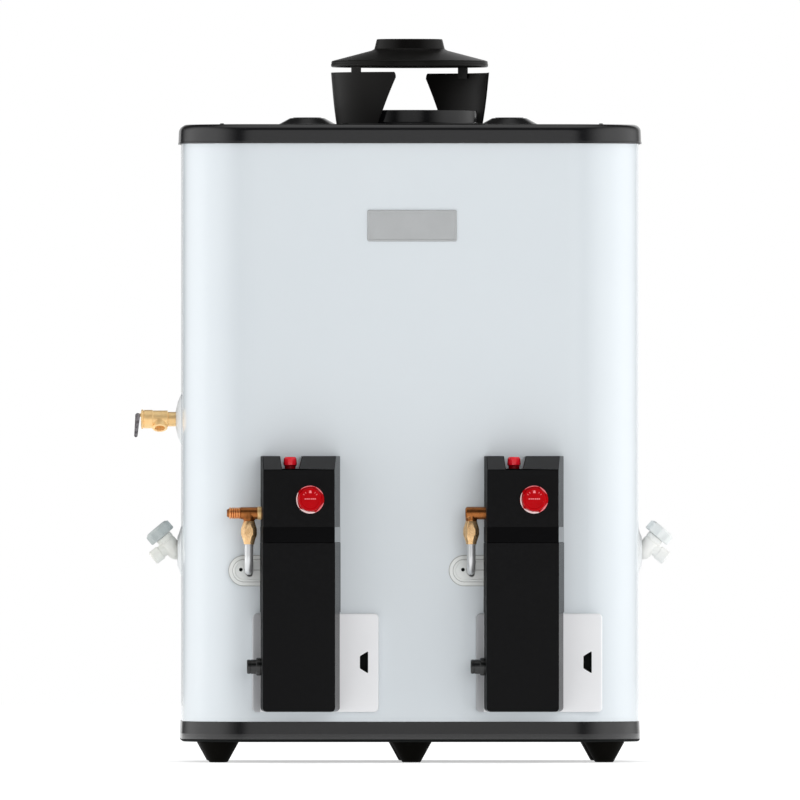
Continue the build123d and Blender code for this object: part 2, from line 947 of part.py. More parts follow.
def make_tube_cover(x):
    outer = cover_prism(
        tube_cover_width,
        tube_cover_front_width,
        tube_cover_depth,
        tube_cover_bottom,
        control_cover_bottom,
        0,
    )
    edges = outer.edges().filter_by(Axis.Y, tolerance=20).group_by(Axis.Z)[0]
    outer = fillet(edges, tube_cover_corner)
    outer -= cover_prism(
        tube_cover_width,
        tube_cover_front_width,
        tube_cover_depth,
        tube_cover_bottom + cover_wall,
        control_cover_bottom,
        cover_wall,
    )
    wide = tube_cover_width
    door_room = front - door_depth - door_cover_gap
    outer -= block(-wide, wide, door_room, front, tube_cover_bottom, door_top + 2 * door_cover_gap)
    wall = -tube_cover_width / 2
    outside = (wall - cut_over, front - igniter_out, igniter_z)
    inner_end = (wall + igniter_barrel_length, front - igniter_out, igniter_z)
    outer -= rod(igniter_barrel_radius + hole_clearance, outside, inner_end)
    plate_room = front - 2 * port_plate_sheet - hole_clearance
    low = bridge_z - port_plate_height / 2 - hole_clearance
    high = bridge_z + port_plate_height / 2 + hole_clearance
    outer -= block(-wide, wide, plate_room, front, low, high)
    return Pos(x, 0, 0) * outer


def make_gas_valve(x):
    back = front - valve_back_gap
    half = valve_half_width
    valve = block(-half, half, front - valve_front, back, valve_bottom, valve_top)
    valve = chamfer(valve.edges().filter_by(Axis.Y), valve_chamfer)
    inlet = (-valve_inlet_reach, valve_axis_y, gas_z)
    valve += rod(valve_inlet_radius, inlet, (-half, valve_axis_y, gas_z))
    inner_end = -tank_radius + 2 * tank_wall
    valve += rod(shank_radius, (0, back, shank_z), (0, inner_end, shank_z))
    valve += rod(probe_radius, (0, inner_end, shank_z), (0, -flue_radius - 3 * probe_radius, shank_z))
    tip = control_front - spindle_reach
    valve += rod(spindle_radius, (dial_x, front - valve_front, shank_z), (dial_x, tip, shank_z))
    y = front - pilot_button_out
    hole = pilot_stem_radius + running_clearance
    depth = pilot_stem_length + 2 * pilot_travel
    valve -= rod(hole, (pilot_button_x, y, valve_top - depth), (pilot_button_x, y, valve_top))
    return Pos(x, 0, 0) * valve


def make_dial(x):
    back = control_front - dial_gap
    face = back - dial_height
    profile = make_face(
        Polyline(
            (0, 0),
            (dial_radius, 0),
            (dial_radius, dial_band),
            (dial_face_radius, dial_height - dial_edge),
            (dial_face_radius - dial_edge, dial_height),
            (0, dial_height),
            close=True,
        )
    )
    dial = revolve(Plane.XZ * profile, Axis.Z)
    for spot in PolarLocations(dial_radius + dial_grip_out, dial_grip_count):
        dial -= Pos(0, 0, dial_height / 2) * spot * Cylinder(dial_grip_radius, dial_height)
    bore = spindle_radius + running_clearance
    depth = spindle_reach - dial_gap + running_clearance
    dial -= Pos(0, 0, depth / 2) * Cylinder(bore, depth)
    return Pos(x + dial_x, back, shank_z) * Rot(90, 0, 0) * dial


def make_pilot_button(x):
    y = front - pilot_button_out
    centre = x + pilot_button_x
    head = extrude(RegularPolygon(pilot_button_radius, pilot_button_facets), pilot_button_height)
    head = chamfer(head.edges().group_by(Axis.Z)[-1], pilot_button_edge)
    foot = pilot_button_bottom - pilot_stem_length
    stem = rod(pilot_stem_radius, (centre, y, foot), (centre, y, pilot_button_bottom))
    return Pos(centre, y, pilot_button_bottom) * head + stem


def make_igniter_housing(x):
    y = front - igniter_out
    wall = x - tube_cover_width / 2
    mouth = wall - igniter_collar_length
    end = wall + igniter_barrel_length
    bore_end = mouth + igniter_button_depth + igniter_travel + igniter_end_gap
    stem_end = bore_end + igniter_stem_length
    housing = rod(igniter_collar_radius, (mouth, y, igniter_z), (wall, y, igniter_z))
    housing += rod(igniter_barrel_radius, (wall, y, igniter_z), (end, y, igniter_z))
    bore = igniter_button_radius + igniter_fit
    housing -= rod(bore, (mouth, y, igniter_z), (bore_end, y, igniter_z))
    stem = igniter_stem_radius + igniter_fit
    return housing - rod(stem, (bore_end, y, igniter_z), (stem_end, y, igniter_z))


def make_igniter_button(x):
    y = front - igniter_out
    mouth = x - tube_cover_width / 2 - igniter_collar_length
    inner = mouth + igniter_button_depth
    tip = mouth - igniter_button_proud
    button = rod(igniter_button_radius, (tip, y, igniter_z), (inner, y, igniter_z))
    button = fillet(button.edges().group_by(Axis.X)[0], igniter_button_edge)
    stem_end = inner + igniter_stem_length
    return button + rod(igniter_stem_radius, (inner, y, igniter_z), (stem_end, y, igniter_z))


# Sliding doors and their rails
def door_prism(inset, corner, depth):
    width = door_right - door_left - 2 * inset
    height = door_height - 2 * inset
    middle = Pos((door_left + door_right) / 2, (door_bottom + door_top) / 2)
    return facing_front(middle * RectangleRounded(width, height, corner), front - door_gap, depth)


def make_access_door(x):
    back = front - door_gap
    deep = door_depth - door_gap
    door = door_prism(0, door_corner, deep)
    door = fillet(door.edges().group_by(Axis.Y)[0], door_front_edge)
    door -= door_prism(door_sheet, door_corner - door_sheet, deep - door_sheet)
    left = door_left + door_sheet + rail_end_gap
    right = door_right - door_sheet - rail_end_gap
    lip_front = back - door_sheet
    head = door_top - door_sheet
    sill = door_bottom + door_sheet
    door += block(left, right, lip_front, back, head - door_lip, head)
    door += block(left, right, lip_front, back, sill, sill + door_lip)
    rail_room = lip_front - rail_sheet - 3 * door_gap
    notch = door_lip + rail_web + 3 * door_gap
    door -= block(door_left, left, rail_room, back, head - notch, head)
    door -= block(door_left, left, rail_room, back, sill, sill + notch)
    slot = make_face(
        Polyline(
            (grip_slot_right, door_bottom + grip_long_low),
            (grip_slot_right, door_bottom + grip_long_high),
            (grip_slot_left, door_bottom + grip_short_high),
            (grip_slot_left, door_bottom + grip_short_low),
            close=True,
        )
    )
    door -= facing_front(slot, back, door_depth)
    return Pos(x, 0, 0) * door


def make_door_rails(x):
    left = x + door_left + door_sheet + rail_end_gap
    right = x + door_right - door_sheet - rail_end_gap
    head_back = front - door_gap - door_sheet - door_gap
    head_front = head_back - rail_sheet
    rails = []
    for edge, inward in ((door_top, -1), (door_bottom, 1)):
        outer = edge + inward * (door_sheet + hole_clearance)
        web_near = edge + inward * (door_sheet + door_lip + door_gap)
        web_far = web_near + inward * rail_web
        rail = block(left, right, head_front, head_back, min(outer, web_far), max(outer, web_far))
        rail += block(left, right, head_back, front, min(web_near, web_far), max(web_near, web_far))
        rails.append(rail)
    return Compound(rails)


# Gas line
def make_gas_tee():
    x = -unit_x
    y = valve_axis_y
    branch = x + branch_offset
    inner = (x - valve_inlet_reach, y, gas_z)
    outer = (x - gas_inlet_reach, y, gas_z)
    shoulder = (x - gas_inlet_reach + flare_length, y, gas_z)
    tee = rod(fitting_radius, shoulder, inner)
    tee += rod(flare_radius, outer, shoulder)
    tee += rod(fitting_radius, (branch, y, gas_z), (branch, y, nut_top))
    band = fitting_radius + tee_band_reach
    tee += rod(fitting_radius + tee_band_proud, (branch - band, y, gas_z), (branch + band, y, gas_z))
    return tee - rod(fitting_bore_radius, outer, inner)


def make_gas_elbow():
    x = unit_x
    inner = (x - valve_inlet_reach, valve_axis_y, gas_z)
    corner = (x + branch_offset, valve_axis_y, gas_z)
    elbow = rod(fitting_radius, corner, inner)
    elbow += Pos(*corner) * Sphere(fitting_radius)
    return elbow + rod(fitting_radius, corner, (x + branch_offset, valve_axis_y, nut_top))


def make_flare_nuts():
    hexagon = Plane.XY.offset(nut_cone_top) * RegularPolygon(nut_flat_radius, 6, major_radius=False)
    nut = extrude(hexagon, nut_top - nut_cone_top)
    cone = Cone(nut_cone_radius, nut_flat_radius, nut_cone_height)
    nut += Pos(0, 0, (nut_cone_top + nut_bottom) / 2) * cone
    nut -= rod(bridge_radius + line_clearance, (0, 0, nut_bottom), (0, 0, bridge_top_z))
    return Compound([Pos(x + branch_offset, valve_axis_y, 0) * nut for _, x in units])


def make_gas_bridge():
    left = -unit_x + branch_offset
    right = unit_x + branch_offset
    low = bridge_z - bridge_drop
    return bent_tube(
        [
            (left, valve_axis_y, bridge_top_z),
            (left, valve_axis_y, bridge_z),
            (left, bridge_inside_y, bridge_z),
            (left, bridge_inside_y, low),
            (right, bridge_inside_y, low),
            (right, bridge_inside_y, bridge_z),
            (right, valve_axis_y, bridge_z),
            (right, valve_axis_y, bridge_top_z),
        ],
        [bridge_bend] + 4 * [bridge_tight_bend] + [bridge_bend],
        bridge_radius,
    )


def make_port_plate(x):
    middle = Pos(port_plate_centre, bridge_z)
    oval = middle * SlotOverall(port_plate_width, port_plate_height)
    plate = facing_front(oval, front, port_plate_sheet)
    inset = 2 * port_rise_inset
    rise = middle * SlotOverall(port_plate_width - inset, port_plate_height - inset)
    plate += facing_front(rise, front, 2 * port_plate_sheet)
    for offset, radius in (
        (branch_offset, bridge_radius),
        (0, feed_radius),
        (pilot_offset, pilot_radius),
        (sensor_offset, sensor_radius),
    ):
        start = (offset, front, bridge_z)
        plate -= rod(radius + line_clearance, start, (offset, front - 4 * port_plate_sheet, bridge_z))
    return Pos(x, 0, 0) * plate


# Fittings on the sides
def make_rosette(hand, z, mouth, rise):
    ring = turned(
        [
            (rosette_radius - 2 * rosette_sheet, 0),
            (rosette_radius, 0),
            (rosette_radius, rosette_sheet),
            (mouth + 2 * rosette_sheet, rise),
            (mouth, rise),
            (mouth, rise - rosette_sheet),
        ]
    )
    return Pos(*outward(hand, 0, z)) * Rot(0, 90 * hand, 0) * ring


def make_relief_valve():
    def along(reach, rise=0.0, y=0.0):
        return outward(-1, reach, relief_z + rise, y)

    tank_face = side - unit_x - tank_radius
    valve = rod(relief_neck_radius, along(-tank_face - relief_inside), along(relief_neck_end))
    valve += rod(relief_body_radius, along(relief_neck_end), along(relief_body_end))
    collar = rod(relief_collar_radius, along(relief_body_end), along(relief_collar_end))
    valve += chamfer(collar.edges().group_by(Axis.X)[0], relief_collar_edge)
    turn = math.radians(relief_outlet_turn)
    down = Vector(0, -math.sin(turn), -math.cos(turn))
    start = Vector(*along(relief_outlet_place))
    mouth = start + down * relief_outlet_reach
    valve += rod(relief_outlet_radius, tuple(start), tuple(mouth))
    valve -= rod(relief_outlet_bore, tuple(mouth - down * relief_outlet_depth), tuple(mouth))
    pivot = along(lever_pivot_out, lever_pivot_rise)
    tongue = rod(tongue_radius, (pivot[0], -tongue_half, pivot[2]), (pivot[0], tongue_half, pivot[2]))
    root_x = along(relief_collar_end - tongue_root)[0]
    low = pivot[2] - tongue_radius
    high = pivot[2] + tongue_radius
    tongue += block(pivot[0], root_x, -tongue_half, tongue_half, low, high)
    valve += tongue
    ends = tongue_half + cut_over
    return valve - rod(pin_radius, (pivot[0], -ends, pivot[2]), (pivot[0], ends, pivot[2]))


def lever_pivot():
    return outward(-1, lever_pivot_out, relief_z + lever_pivot_rise)


def make_lever_pin():
    pivot = lever_pivot()
    half = lever_inner_half + lever_cheek + pin_proud
    return rod(pin_radius, (pivot[0], -half, pivot[2]), (pivot[0], half, pivot[2]))


def make_relief_lever():
    outer_half = lever_inner_half + lever_cheek
    middle = Pos(0, -(lever_length - lever_half_width) / 2)
    bar = SlotOverall(lever_length + lever_half_width, 2 * lever_half_width)
    lever = facing_front(middle * Rot(0, 0, 90) * bar, outer_half, 2 * outer_half)
    reach = lever_half_width + cut_over
    low = -lever_length - cut_over
    lever -= block(-reach, reach, -lever_inner_half, lever_inner_half, low, reach)
    web_back = -lever_half_width
    web_end = lever_half_width - lever_length
    lever += block(
        web_back, web_back + lever_web, -outer_half, outer_half, web_end, -lever_web_start
    )
    hole = pin_radius + running_clearance
    lever -= rod(hole, (0, -outer_half, 0), (0, outer_half, 0))
    return Pos(*lever_pivot()) * Rot(0, lever_lean, 0) * lever


def drain_directions(hand):
    rise = math.radians(drain_rise_angle)
    fall = math.radians(drain_outlet_angle)
    body = Vector(hand * math.cos(rise), 0, math.sin(rise))
    outlet = Vector(hand * math.cos(fall), 0, -math.sin(fall))
    return body, outlet


def make_drain_body(hand):
    body_axis, outlet_axis = drain_directions(hand)
    centre = Vector(*outward(hand, drain_out, drain_z))
    tank_end = (hand * (unit_x + tank_radius - 2 * tank_wall), 0, drain_z)
    cock = rod(drain_shank_radius, tank_end, tuple(centre))
    cock += Pos(*centre) * Sphere(drain_body_radius)
    top = centre + body_axis * drain_body_length
    cock += rod(drain_body_radius, tuple(centre), tuple(top))
    root = centre + body_axis * drain_outlet_place
    mouth = root + outlet_axis * drain_outlet_reach
    shoulder = mouth - outlet_axis * drain_outlet_end
    cock += rod(drain_outlet_neck, tuple(root), tuple(shoulder))
    cock += rod(drain_outlet_radius, tuple(shoulder), tuple(mouth))
    cock -= rod(drain_outlet_bore, tuple(mouth - outlet_axis * drain_outlet_depth), tuple(mouth))
    stem = knob_stem_radius + running_clearance
    stem_foot = top - body_axis * (knob_stem_depth + knob_stem_gap)
    return cock - rod(stem, tuple(stem_foot), tuple(top))


def make_drain_knob(hand):
    body_axis, _ = drain_directions(hand)
    centre = Vector(*outward(hand, drain_out, drain_z))
    base = centre + body_axis * (drain_body_length + knob_gap)
    middle = Pos(0, 0, knob_height / 2)
    knob = middle * Cylinder(knob_radius, knob_height)
    lobe_centre = knob_radius - knob_lobe_inset
    lobe_radius = knob_grip_radius - lobe_centre
    for spot in PolarLocations(lobe_centre, knob_lobes):
        knob += middle * spot * Cylinder(lobe_radius, knob_height)
    outside = knob_grip_radius + cut_over
    knob &= turned(
        [
            (0, 0),
            (outside, 0),
            (outside, knob_height - knob_crown),
            (knob_grip_radius - knob_crown_inset, knob_height),
            (0, knob_height),
        ]
    )
    knob += rod(knob_stem_radius, (0, 0, -knob_stem_depth - knob_gap), (0, 0, 0))
    frame = Plane(origin=tuple(base), x_dir=(0, 1, 0), z_dir=tuple(body_axis))
    return frame.location * knob


def build_all():
    relief_mouth = relief_neck_radius + hole_clearance
    parts = {
        "feet": make_feet(),
        "bottom_pan": make_bottom_pan(),
        "outer_casing": make_outer_casing(),
        "top_cover": make_top_cover(),
        "nameplate": make_nameplate(),
        "hood_ring": make_hood_ring(),
        "hood_leg_left": make_hood_leg(0),
        "hood_leg_right": make_hood_leg(180),
        "hood_cap": make_hood_cap(),
        "insulation": make_insulation(),
        "crossover_pipes": make_crossovers(),
        "dip_tube": make_dip_tube(),
        "flue_collector": make_flue_collector(),
        "collector_lid": make_collector_lid(),
        "gas_tee": make_gas_tee(),
        "gas_elbow": make_gas_elbow(),
        "flare_nuts": make_flare_nuts(),
        "gas_bridge_tube": make_gas_bridge(),
        "relief_valve": make_relief_valve(),
        "relief_rosette": make_rosette(-1, relief_z, relief_mouth, rosette_rise),
        "relief_lever_pin": make_lever_pin(),
        "relief_lever": make_relief_lever(),
    }
    for name, hand in sides:
        x = hand * unit_x
        parts["tank_" + name] = make_tank(x, hand)
        parts["anode_rod_" + name] = make_anode(x)
        parts["water_socket_" + name] = make_water_socket(hand)
        parts["flue_baffle_" + name] = make_flue_baffle(x)
        parts["burner_" + name] = make_burner(x)
        parts["burner_lines_" + name] = make_burner_lines(x)
        parts["gas_valve_" + name] = make_gas_valve(x)
        parts["control_cover_" + name] = make_control_cover(x)
        parts["tube_cover_" + name] = make_tube_cover(x)
        parts["port_plate_" + name] = make_port_plate(x)
        parts["temperature_dial_" + name] = make_dial(x)
        parts["pilot_button_" + name] = make_pilot_button(x)
        parts["igniter_housing_" + name] = make_igniter_housing(x)
        parts["igniter_button_" + name] = make_igniter_button(x)
        parts["access_door_" + name] = make_access_door(x)
        parts["door_rails_" + name] = make_door_rails(x)
        rosette = make_rosette(hand, drain_z, drain_rosette_mouth, drain_rosette_rise)
        parts["drain_rosette_" + name] = rosette
        parts["drain_body_" + name] = make_drain_body(hand)
        parts["drain_knob_" + name] = make_drain_knob(hand)
    return parts


for node, shape in build_all().items():
    export_step(shape, "parts/" + node + ".step")
    print(node, round(shape.volume), "mm3")
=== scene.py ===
import math

import bmesh
import bpy
from mathutils import Matrix, Vector


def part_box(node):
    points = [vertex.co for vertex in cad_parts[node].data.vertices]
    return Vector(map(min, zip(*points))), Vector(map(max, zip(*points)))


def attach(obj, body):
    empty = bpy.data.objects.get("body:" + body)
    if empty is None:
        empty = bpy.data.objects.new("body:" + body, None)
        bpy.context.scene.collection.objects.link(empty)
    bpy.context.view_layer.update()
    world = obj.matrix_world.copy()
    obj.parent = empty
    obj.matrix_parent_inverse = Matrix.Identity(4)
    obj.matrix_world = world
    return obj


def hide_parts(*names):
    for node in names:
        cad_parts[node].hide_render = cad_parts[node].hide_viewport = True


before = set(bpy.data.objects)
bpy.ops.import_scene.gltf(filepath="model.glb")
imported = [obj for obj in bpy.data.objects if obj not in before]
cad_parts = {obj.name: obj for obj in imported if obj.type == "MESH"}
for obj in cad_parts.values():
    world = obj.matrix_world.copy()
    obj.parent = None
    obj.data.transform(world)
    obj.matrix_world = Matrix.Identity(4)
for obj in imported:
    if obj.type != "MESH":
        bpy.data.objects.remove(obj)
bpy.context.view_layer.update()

# Lengths are in millimetres up to the moment when a mesh becomes an object.
millimetre = 0.001
hands = {"left": -1, "right": 1}
smoothBelow = math.radians(32)
joinWithin = 0.0005
shortestEdge = 0.0002
scene = bpy.context.scene


def boxOf(node):
    low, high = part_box(node)
    return low / millimetre, high / millimetre


def middleOf(node):
    low, high = boxOf(node)
    return (low + high) / 2


print("stage: camera, light and floor")

# The scale 1.48 mm per pixel is the photograph's, and the lens is long, as the straight verticals say.
cameraView = {"distance": 45.0, "widthSeen": 1.1855, "eyeHeight": 0.50, "aim": (-0.0142, 0.0, 0.5354),
              "yaw": 1.18, "sensor": 36.0, "sightEnd": 100.0}
# A gloss or start entry is a ramp along one axis of the direction: from, to, level before, level after.
lightPlan = {
    "worldLevel": 0.61, "worldTone": (0.985, 0.995, 1.0, 1.0), "lampAim": (0.0, 0.0, 0.5),
    "keyPower": 84.0, "keySize": 3.2, "keyPlace": (1.2, -5.6, 1.1),
    "sidePower": 55.0, "sideSize": 1.8, "sidePlace": (3.6, 0.45, 0.7), "leftShare": 1.05,
    "wallGloss": (0.45, 0.95, 0.04, 1.0), "panelGloss": (-0.985, -0.90, 0.55, 0.0),
    "topGloss": (0.75, 0.98, 0.0, 0.75), "backGloss": (0.93, 0.985, 0.0, 0.5),
    "rightGloss": (0.80, 0.93, 0.0, 0.8), "rightStart": (0.0, 0.15, 0.0, 1.0),
}
floorPlan = {"half": 9.0, "level": -0.0002, "tone": (0.90, 0.90, 0.90, 1.0), "glow": 0.28, "glowSeen": 0.22}
white = (1.0, 1.0, 1.0, 1.0)


def lookAt(obj, aim):
    obj.rotation_mode = "QUATERNION"
    obj.rotation_quaternion = (Vector(aim) - obj.location).to_track_quat("-Z", "Y")


def placeCamera():
    data = bpy.data.cameras.new("Camera")
    camera = bpy.data.objects.new("Camera", data)
    scene.collection.objects.link(camera)
    turn = math.radians(cameraView["yaw"])
    away = Vector((-math.sin(turn), -math.cos(turn), 0.0)) * cameraView["distance"]
    camera.location = Vector(cameraView["aim"]) + away
    camera.location.z = cameraView["eyeHeight"]
    lookAt(camera, cameraView["aim"])
    data.sensor_width = cameraView["sensor"]
    data.lens = data.sensor_width * cameraView["distance"] / cameraView["widthSeen"]
    data.clip_end = cameraView["sightEnd"]
    scene.camera = camera


def addLamp(name, place, size, power):
    data = bpy.data.lights.new(name, "AREA")
    data.shape = "DISK"
    data.size = size
    data.energy = power
    lamp = bpy.data.objects.new(name, data)
    scene.collection.objects.link(lamp)
    lamp.location = place
    lamp.visible_glossy = False
    lookAt(lamp, lightPlan["lampAim"])


def put(tree, kind, settings=None, values=None):
    # A node with its settings; a value that is a socket is linked, and any other is written in.
    node = tree.nodes.new(kind)
    for key, value in (settings or {}).items():
        setattr(node, key, value)
    for key, value in (values or {}).items():
        if isinstance(value, bpy.types.NodeSocket):
            tree.links.new(value, node.inputs[key])
        else:
            node.inputs[key].default_value = value
    return node


def mathOf(tree, operation, *values, clamp=False):
    settings = {"operation": operation, "use_clamp": clamp}
    return put(tree, "ShaderNodeMath", settings, dict(enumerate(values))).outputs[0]


def rampOf(tree, value, start, end, first=0.0, last=1.0, kind="LINEAR"):
    values = {"Value": value, "From Min": start, "From Max": end, "To Min": first, "To Max": last}
    return put(tree, "ShaderNodeMapRange", {"interpolation_type": kind}, values).outputs[0]


def noiseOf(tree, vector, scale, detail, rough=0.5):
    values = {"Vector": vector, "Scale": scale, "Detail": detail, "Roughness": rough}
    return put(tree, "ShaderNodeTexNoise", None, values).outputs["Fac"]


def paintWorld():
    world = bpy.data.worlds.new("StudioWorld")
    scene.world = world
    world.use_nodes = True
    tree = world.node_tree
    tree.nodes.clear()
    path = put(tree, "ShaderNodeLightPath").outputs
    seen = mathOf(tree, "MAXIMUM", path["Is Glossy Ray"], path["Is Transmission Ray"])
    seen = mathOf(tree, "MAXIMUM", seen, path["Is Camera Ray"])
    # What gloss shows: white walls at both sides, a lit panel round the camera, a lamp overhead.
    direction = put(tree, "ShaderNodeTexCoord").outputs["Generated"]
    axes = put(tree, "ShaderNodeSeparateXYZ", None, {0: direction}).outputs

    def rising(source, name):
        return rampOf(tree, source, *lightPlan[name], "SMOOTHSTEP")

    total = path["Is Camera Ray"]
    for level in (rising(mathOf(tree, "ABSOLUTE", axes["X"]), "wallGloss"), rising(axes["Y"], "panelGloss"),
                  rising(axes["Z"], "topGloss"), rising(axes["Y"], "backGloss"),
                  mathOf(tree, "MULTIPLY", rising(axes["Y"], "rightGloss"), rising(axes["X"], "rightStart"))):
        total = mathOf(tree, "ADD", total, level, clamp=True)
    light = put(tree, "ShaderNodeBackground", None,
                {"Color": lightPlan["worldTone"], "Strength": lightPlan["worldLevel"]})
    shown = put(tree, "ShaderNodeBackground", None, {"Color": white, "Strength": total})
    mix = put(tree, "ShaderNodeMixShader", None, {"Fac": seen, 1: light.outputs[0], 2: shown.outputs[0]})
    put(tree, "ShaderNodeOutputWorld", None, {"Surface": mix.outputs[0]})


def layFloor():
    half = floorPlan["half"]
    bm = bmesh.new()
    bm.faces.new([bm.verts.new((x * half, y * half, floorPlan["level"]))
                  for x, y in ((-1, -1), (1, -1), (1, 1), (-1, 1))])
    mesh = bpy.data.meshes.new("StudioFloor")
    bm.to_mesh(mesh)
    bm.free()
    floor = bpy.data.objects.new("StudioFloor", mesh)
    scene.collection.objects.link(floor)
    material = bpy.data.materials.new("palePaper")
    material.use_nodes = True
    tree = material.node_tree
    tree.nodes.clear()
    path = put(tree, "ShaderNodeLightPath").outputs
    seen = mathOf(tree, "MAXIMUM", path["Is Camera Ray"], path["Is Glossy Ray"])
    level = mathOf(tree, "MULTIPLY_ADD", seen, floorPlan["glowSeen"], floorPlan["glow"])
    glow = put(tree, "ShaderNodeEmission", None, {"Strength": level})
    paper = put(tree, "ShaderNodeBsdfDiffuse", None, {"Color": floorPlan["tone"]})
    both = put(tree, "ShaderNodeAddShader", None, {0: paper.outputs[0], 1: glow.outputs[0]})
    put(tree, "ShaderNodeOutputMaterial", None, {"Surface": both.outputs[0]})
    mesh.materials.append(material)


placeCamera()
paintWorld()
layFloor()
addLamp("KeyLamp", lightPlan["keyPlace"], lightPlan["keySize"], lightPlan["keyPower"])
for hand in hands.values():
    sideX, sideY, sideZ = lightPlan["sidePlace"]
    addLamp("SideLamp", (hand * sideX, sideY, sideZ), lightPlan["sideSize"],
            lightPlan["sidePower"] * (1.0 if hand > 0 else lightPlan["leftShare"]))
scene.view_settings.view_transform = "Standard"

print("stage: shader groups")


def newGroup(treeKind, name, inputs, outputs):
    group = bpy.data.node_groups.new(name, treeKind)
    for socketName, kind in outputs:
        group.interface.new_socket(socketName, in_out="OUTPUT", socket_type="NodeSocket" + kind)
    for socketName, kind, value in inputs:
        socket = group.interface.new_socket(socketName, in_out="INPUT", socket_type="NodeSocket" + kind)
        if value is not None:
            socket.default_value = value
    return group, group.nodes.new("NodeGroupInput").outputs


def makeToneGroup():
    # Slow and fine variation of a colour over a surface.
    group, ins = newGroup("ShaderNodeTree", "toneDrift", [
        ("Vector", "Vector", None), ("Tone", "Color", None), ("Other Tone", "Color", None),
        ("Patch Size", "Float", 0.2), ("Amount", "Float", 0.5)], [("Color", "Color"), ("Mask", "Float")])
    noise = noiseOf(group, ins["Vector"], mathOf(group, "DIVIDE", 1.0, ins["Patch Size"]), 4.0, 0.55)
    spread = rampOf(group, noise, 0.3, 0.7)
    amount = mathOf(group, "MULTIPLY", spread, ins["Amount"])
    mix = put(group, "ShaderNodeMix", {"data_type": "RGBA"},
              {"Factor": amount, "A": ins["Tone"], "B": ins["Other Tone"]})
    put(group, "NodeGroupOutput", None, {"Color": mix.outputs["Result"], "Mask": spread})
    return group


def makeGrainGroup():
    # Fine grain as a height, and broad patches as a roughness around a middle value.
    group, ins = newGroup("ShaderNodeTree", "surfaceGrain", [
        ("Vector", "Vector", None), ("Grain Size", "Float", 0.001), ("Stretch", "Vector", (1.0, 1.0, 1.0)),
        ("Middle", "Float", 0.4), ("Spread", "Float", 0.05)], [("Height", "Float"), ("Roughness", "Float")])
    stretched = put(group, "ShaderNodeVectorMath", {"operation": "MULTIPLY"},
                    {0: ins["Vector"], 1: ins["Stretch"]}).outputs[0]
    height = noiseOf(group, stretched, mathOf(group, "DIVIDE", 1.0, ins["Grain Size"]), 3.0, 0.6)
    centred = mathOf(group, "SUBTRACT", noiseOf(group, ins["Vector"], 9.0, 3.0), 0.5)
    rough = mathOf(group, "MULTIPLY_ADD", centred, ins["Spread"], ins["Middle"])
    put(group, "NodeGroupOutput", None, {"Height": height, "Roughness": rough})
    return group


def endMask(group, ins, first, second):
    both = mathOf(group, "MULTIPLY", first, second)
    put(group, "NodeGroupOutput", None, {"Mask": mathOf(group, "MULTIPLY", both, ins["Amount"], clamp=True)})
    return group


def makeWearAndGlintGroup():
    # Worn edges, and painted edge highlights where edges would catch the light: a lighter tone where the mesh
    # turns outwards, broken up by noise.
    group, ins = newGroup("ShaderNodeTree", "edgeWear", [
        ("Vector", "Vector", None), ("Amount", "Float", 0.5)], [("Mask", "Float")])
    edge = rampOf(group, put(group, "ShaderNodeNewGeometry").outputs["Pointiness"], 0.53, 0.62)
    broken = rampOf(group, noiseOf(group, ins["Vector"], 160.0, 4.0), 0.4, 0.65)
    return endMask(group, ins, edge, broken)


def makeDustGroup():
    # Thin dust on what faces up.
    group, ins = newGroup("ShaderNodeTree", "settledDust", [
        ("Vector", "Vector", None), ("Amount", "Float", 0.3)], [("Mask", "Float")])
    normal = put(group, "ShaderNodeNewGeometry").outputs["Normal"]
    height = put(group, "ShaderNodeSeparateXYZ", None, {0: normal}).outputs["Z"]
    cloud = rampOf(group, noiseOf(group, ins["Vector"], 42.0, 6.0, 0.7), 0.35, 0.75)
    return endMask(group, ins, rampOf(group, height, 0.55, 1.0), cloud)


toneGroup = makeToneGroup()
grainGroup = makeGrainGroup()
wearAndGlintGroup = makeWearAndGlintGroup()
dustGroup = makeDustGroup()

print("stage: finishes")

dustTone = (150, 146, 138)


def srgb(tone):
    # A colour written as 0 to 255 in each channel, as Blender wants it.
    parts = [value / 255 for value in tone]
    return (*(part / 12.92 if part <= 0.04045 else ((part + 0.055) / 1.055) ** 2.4 for part in parts), 1.0)


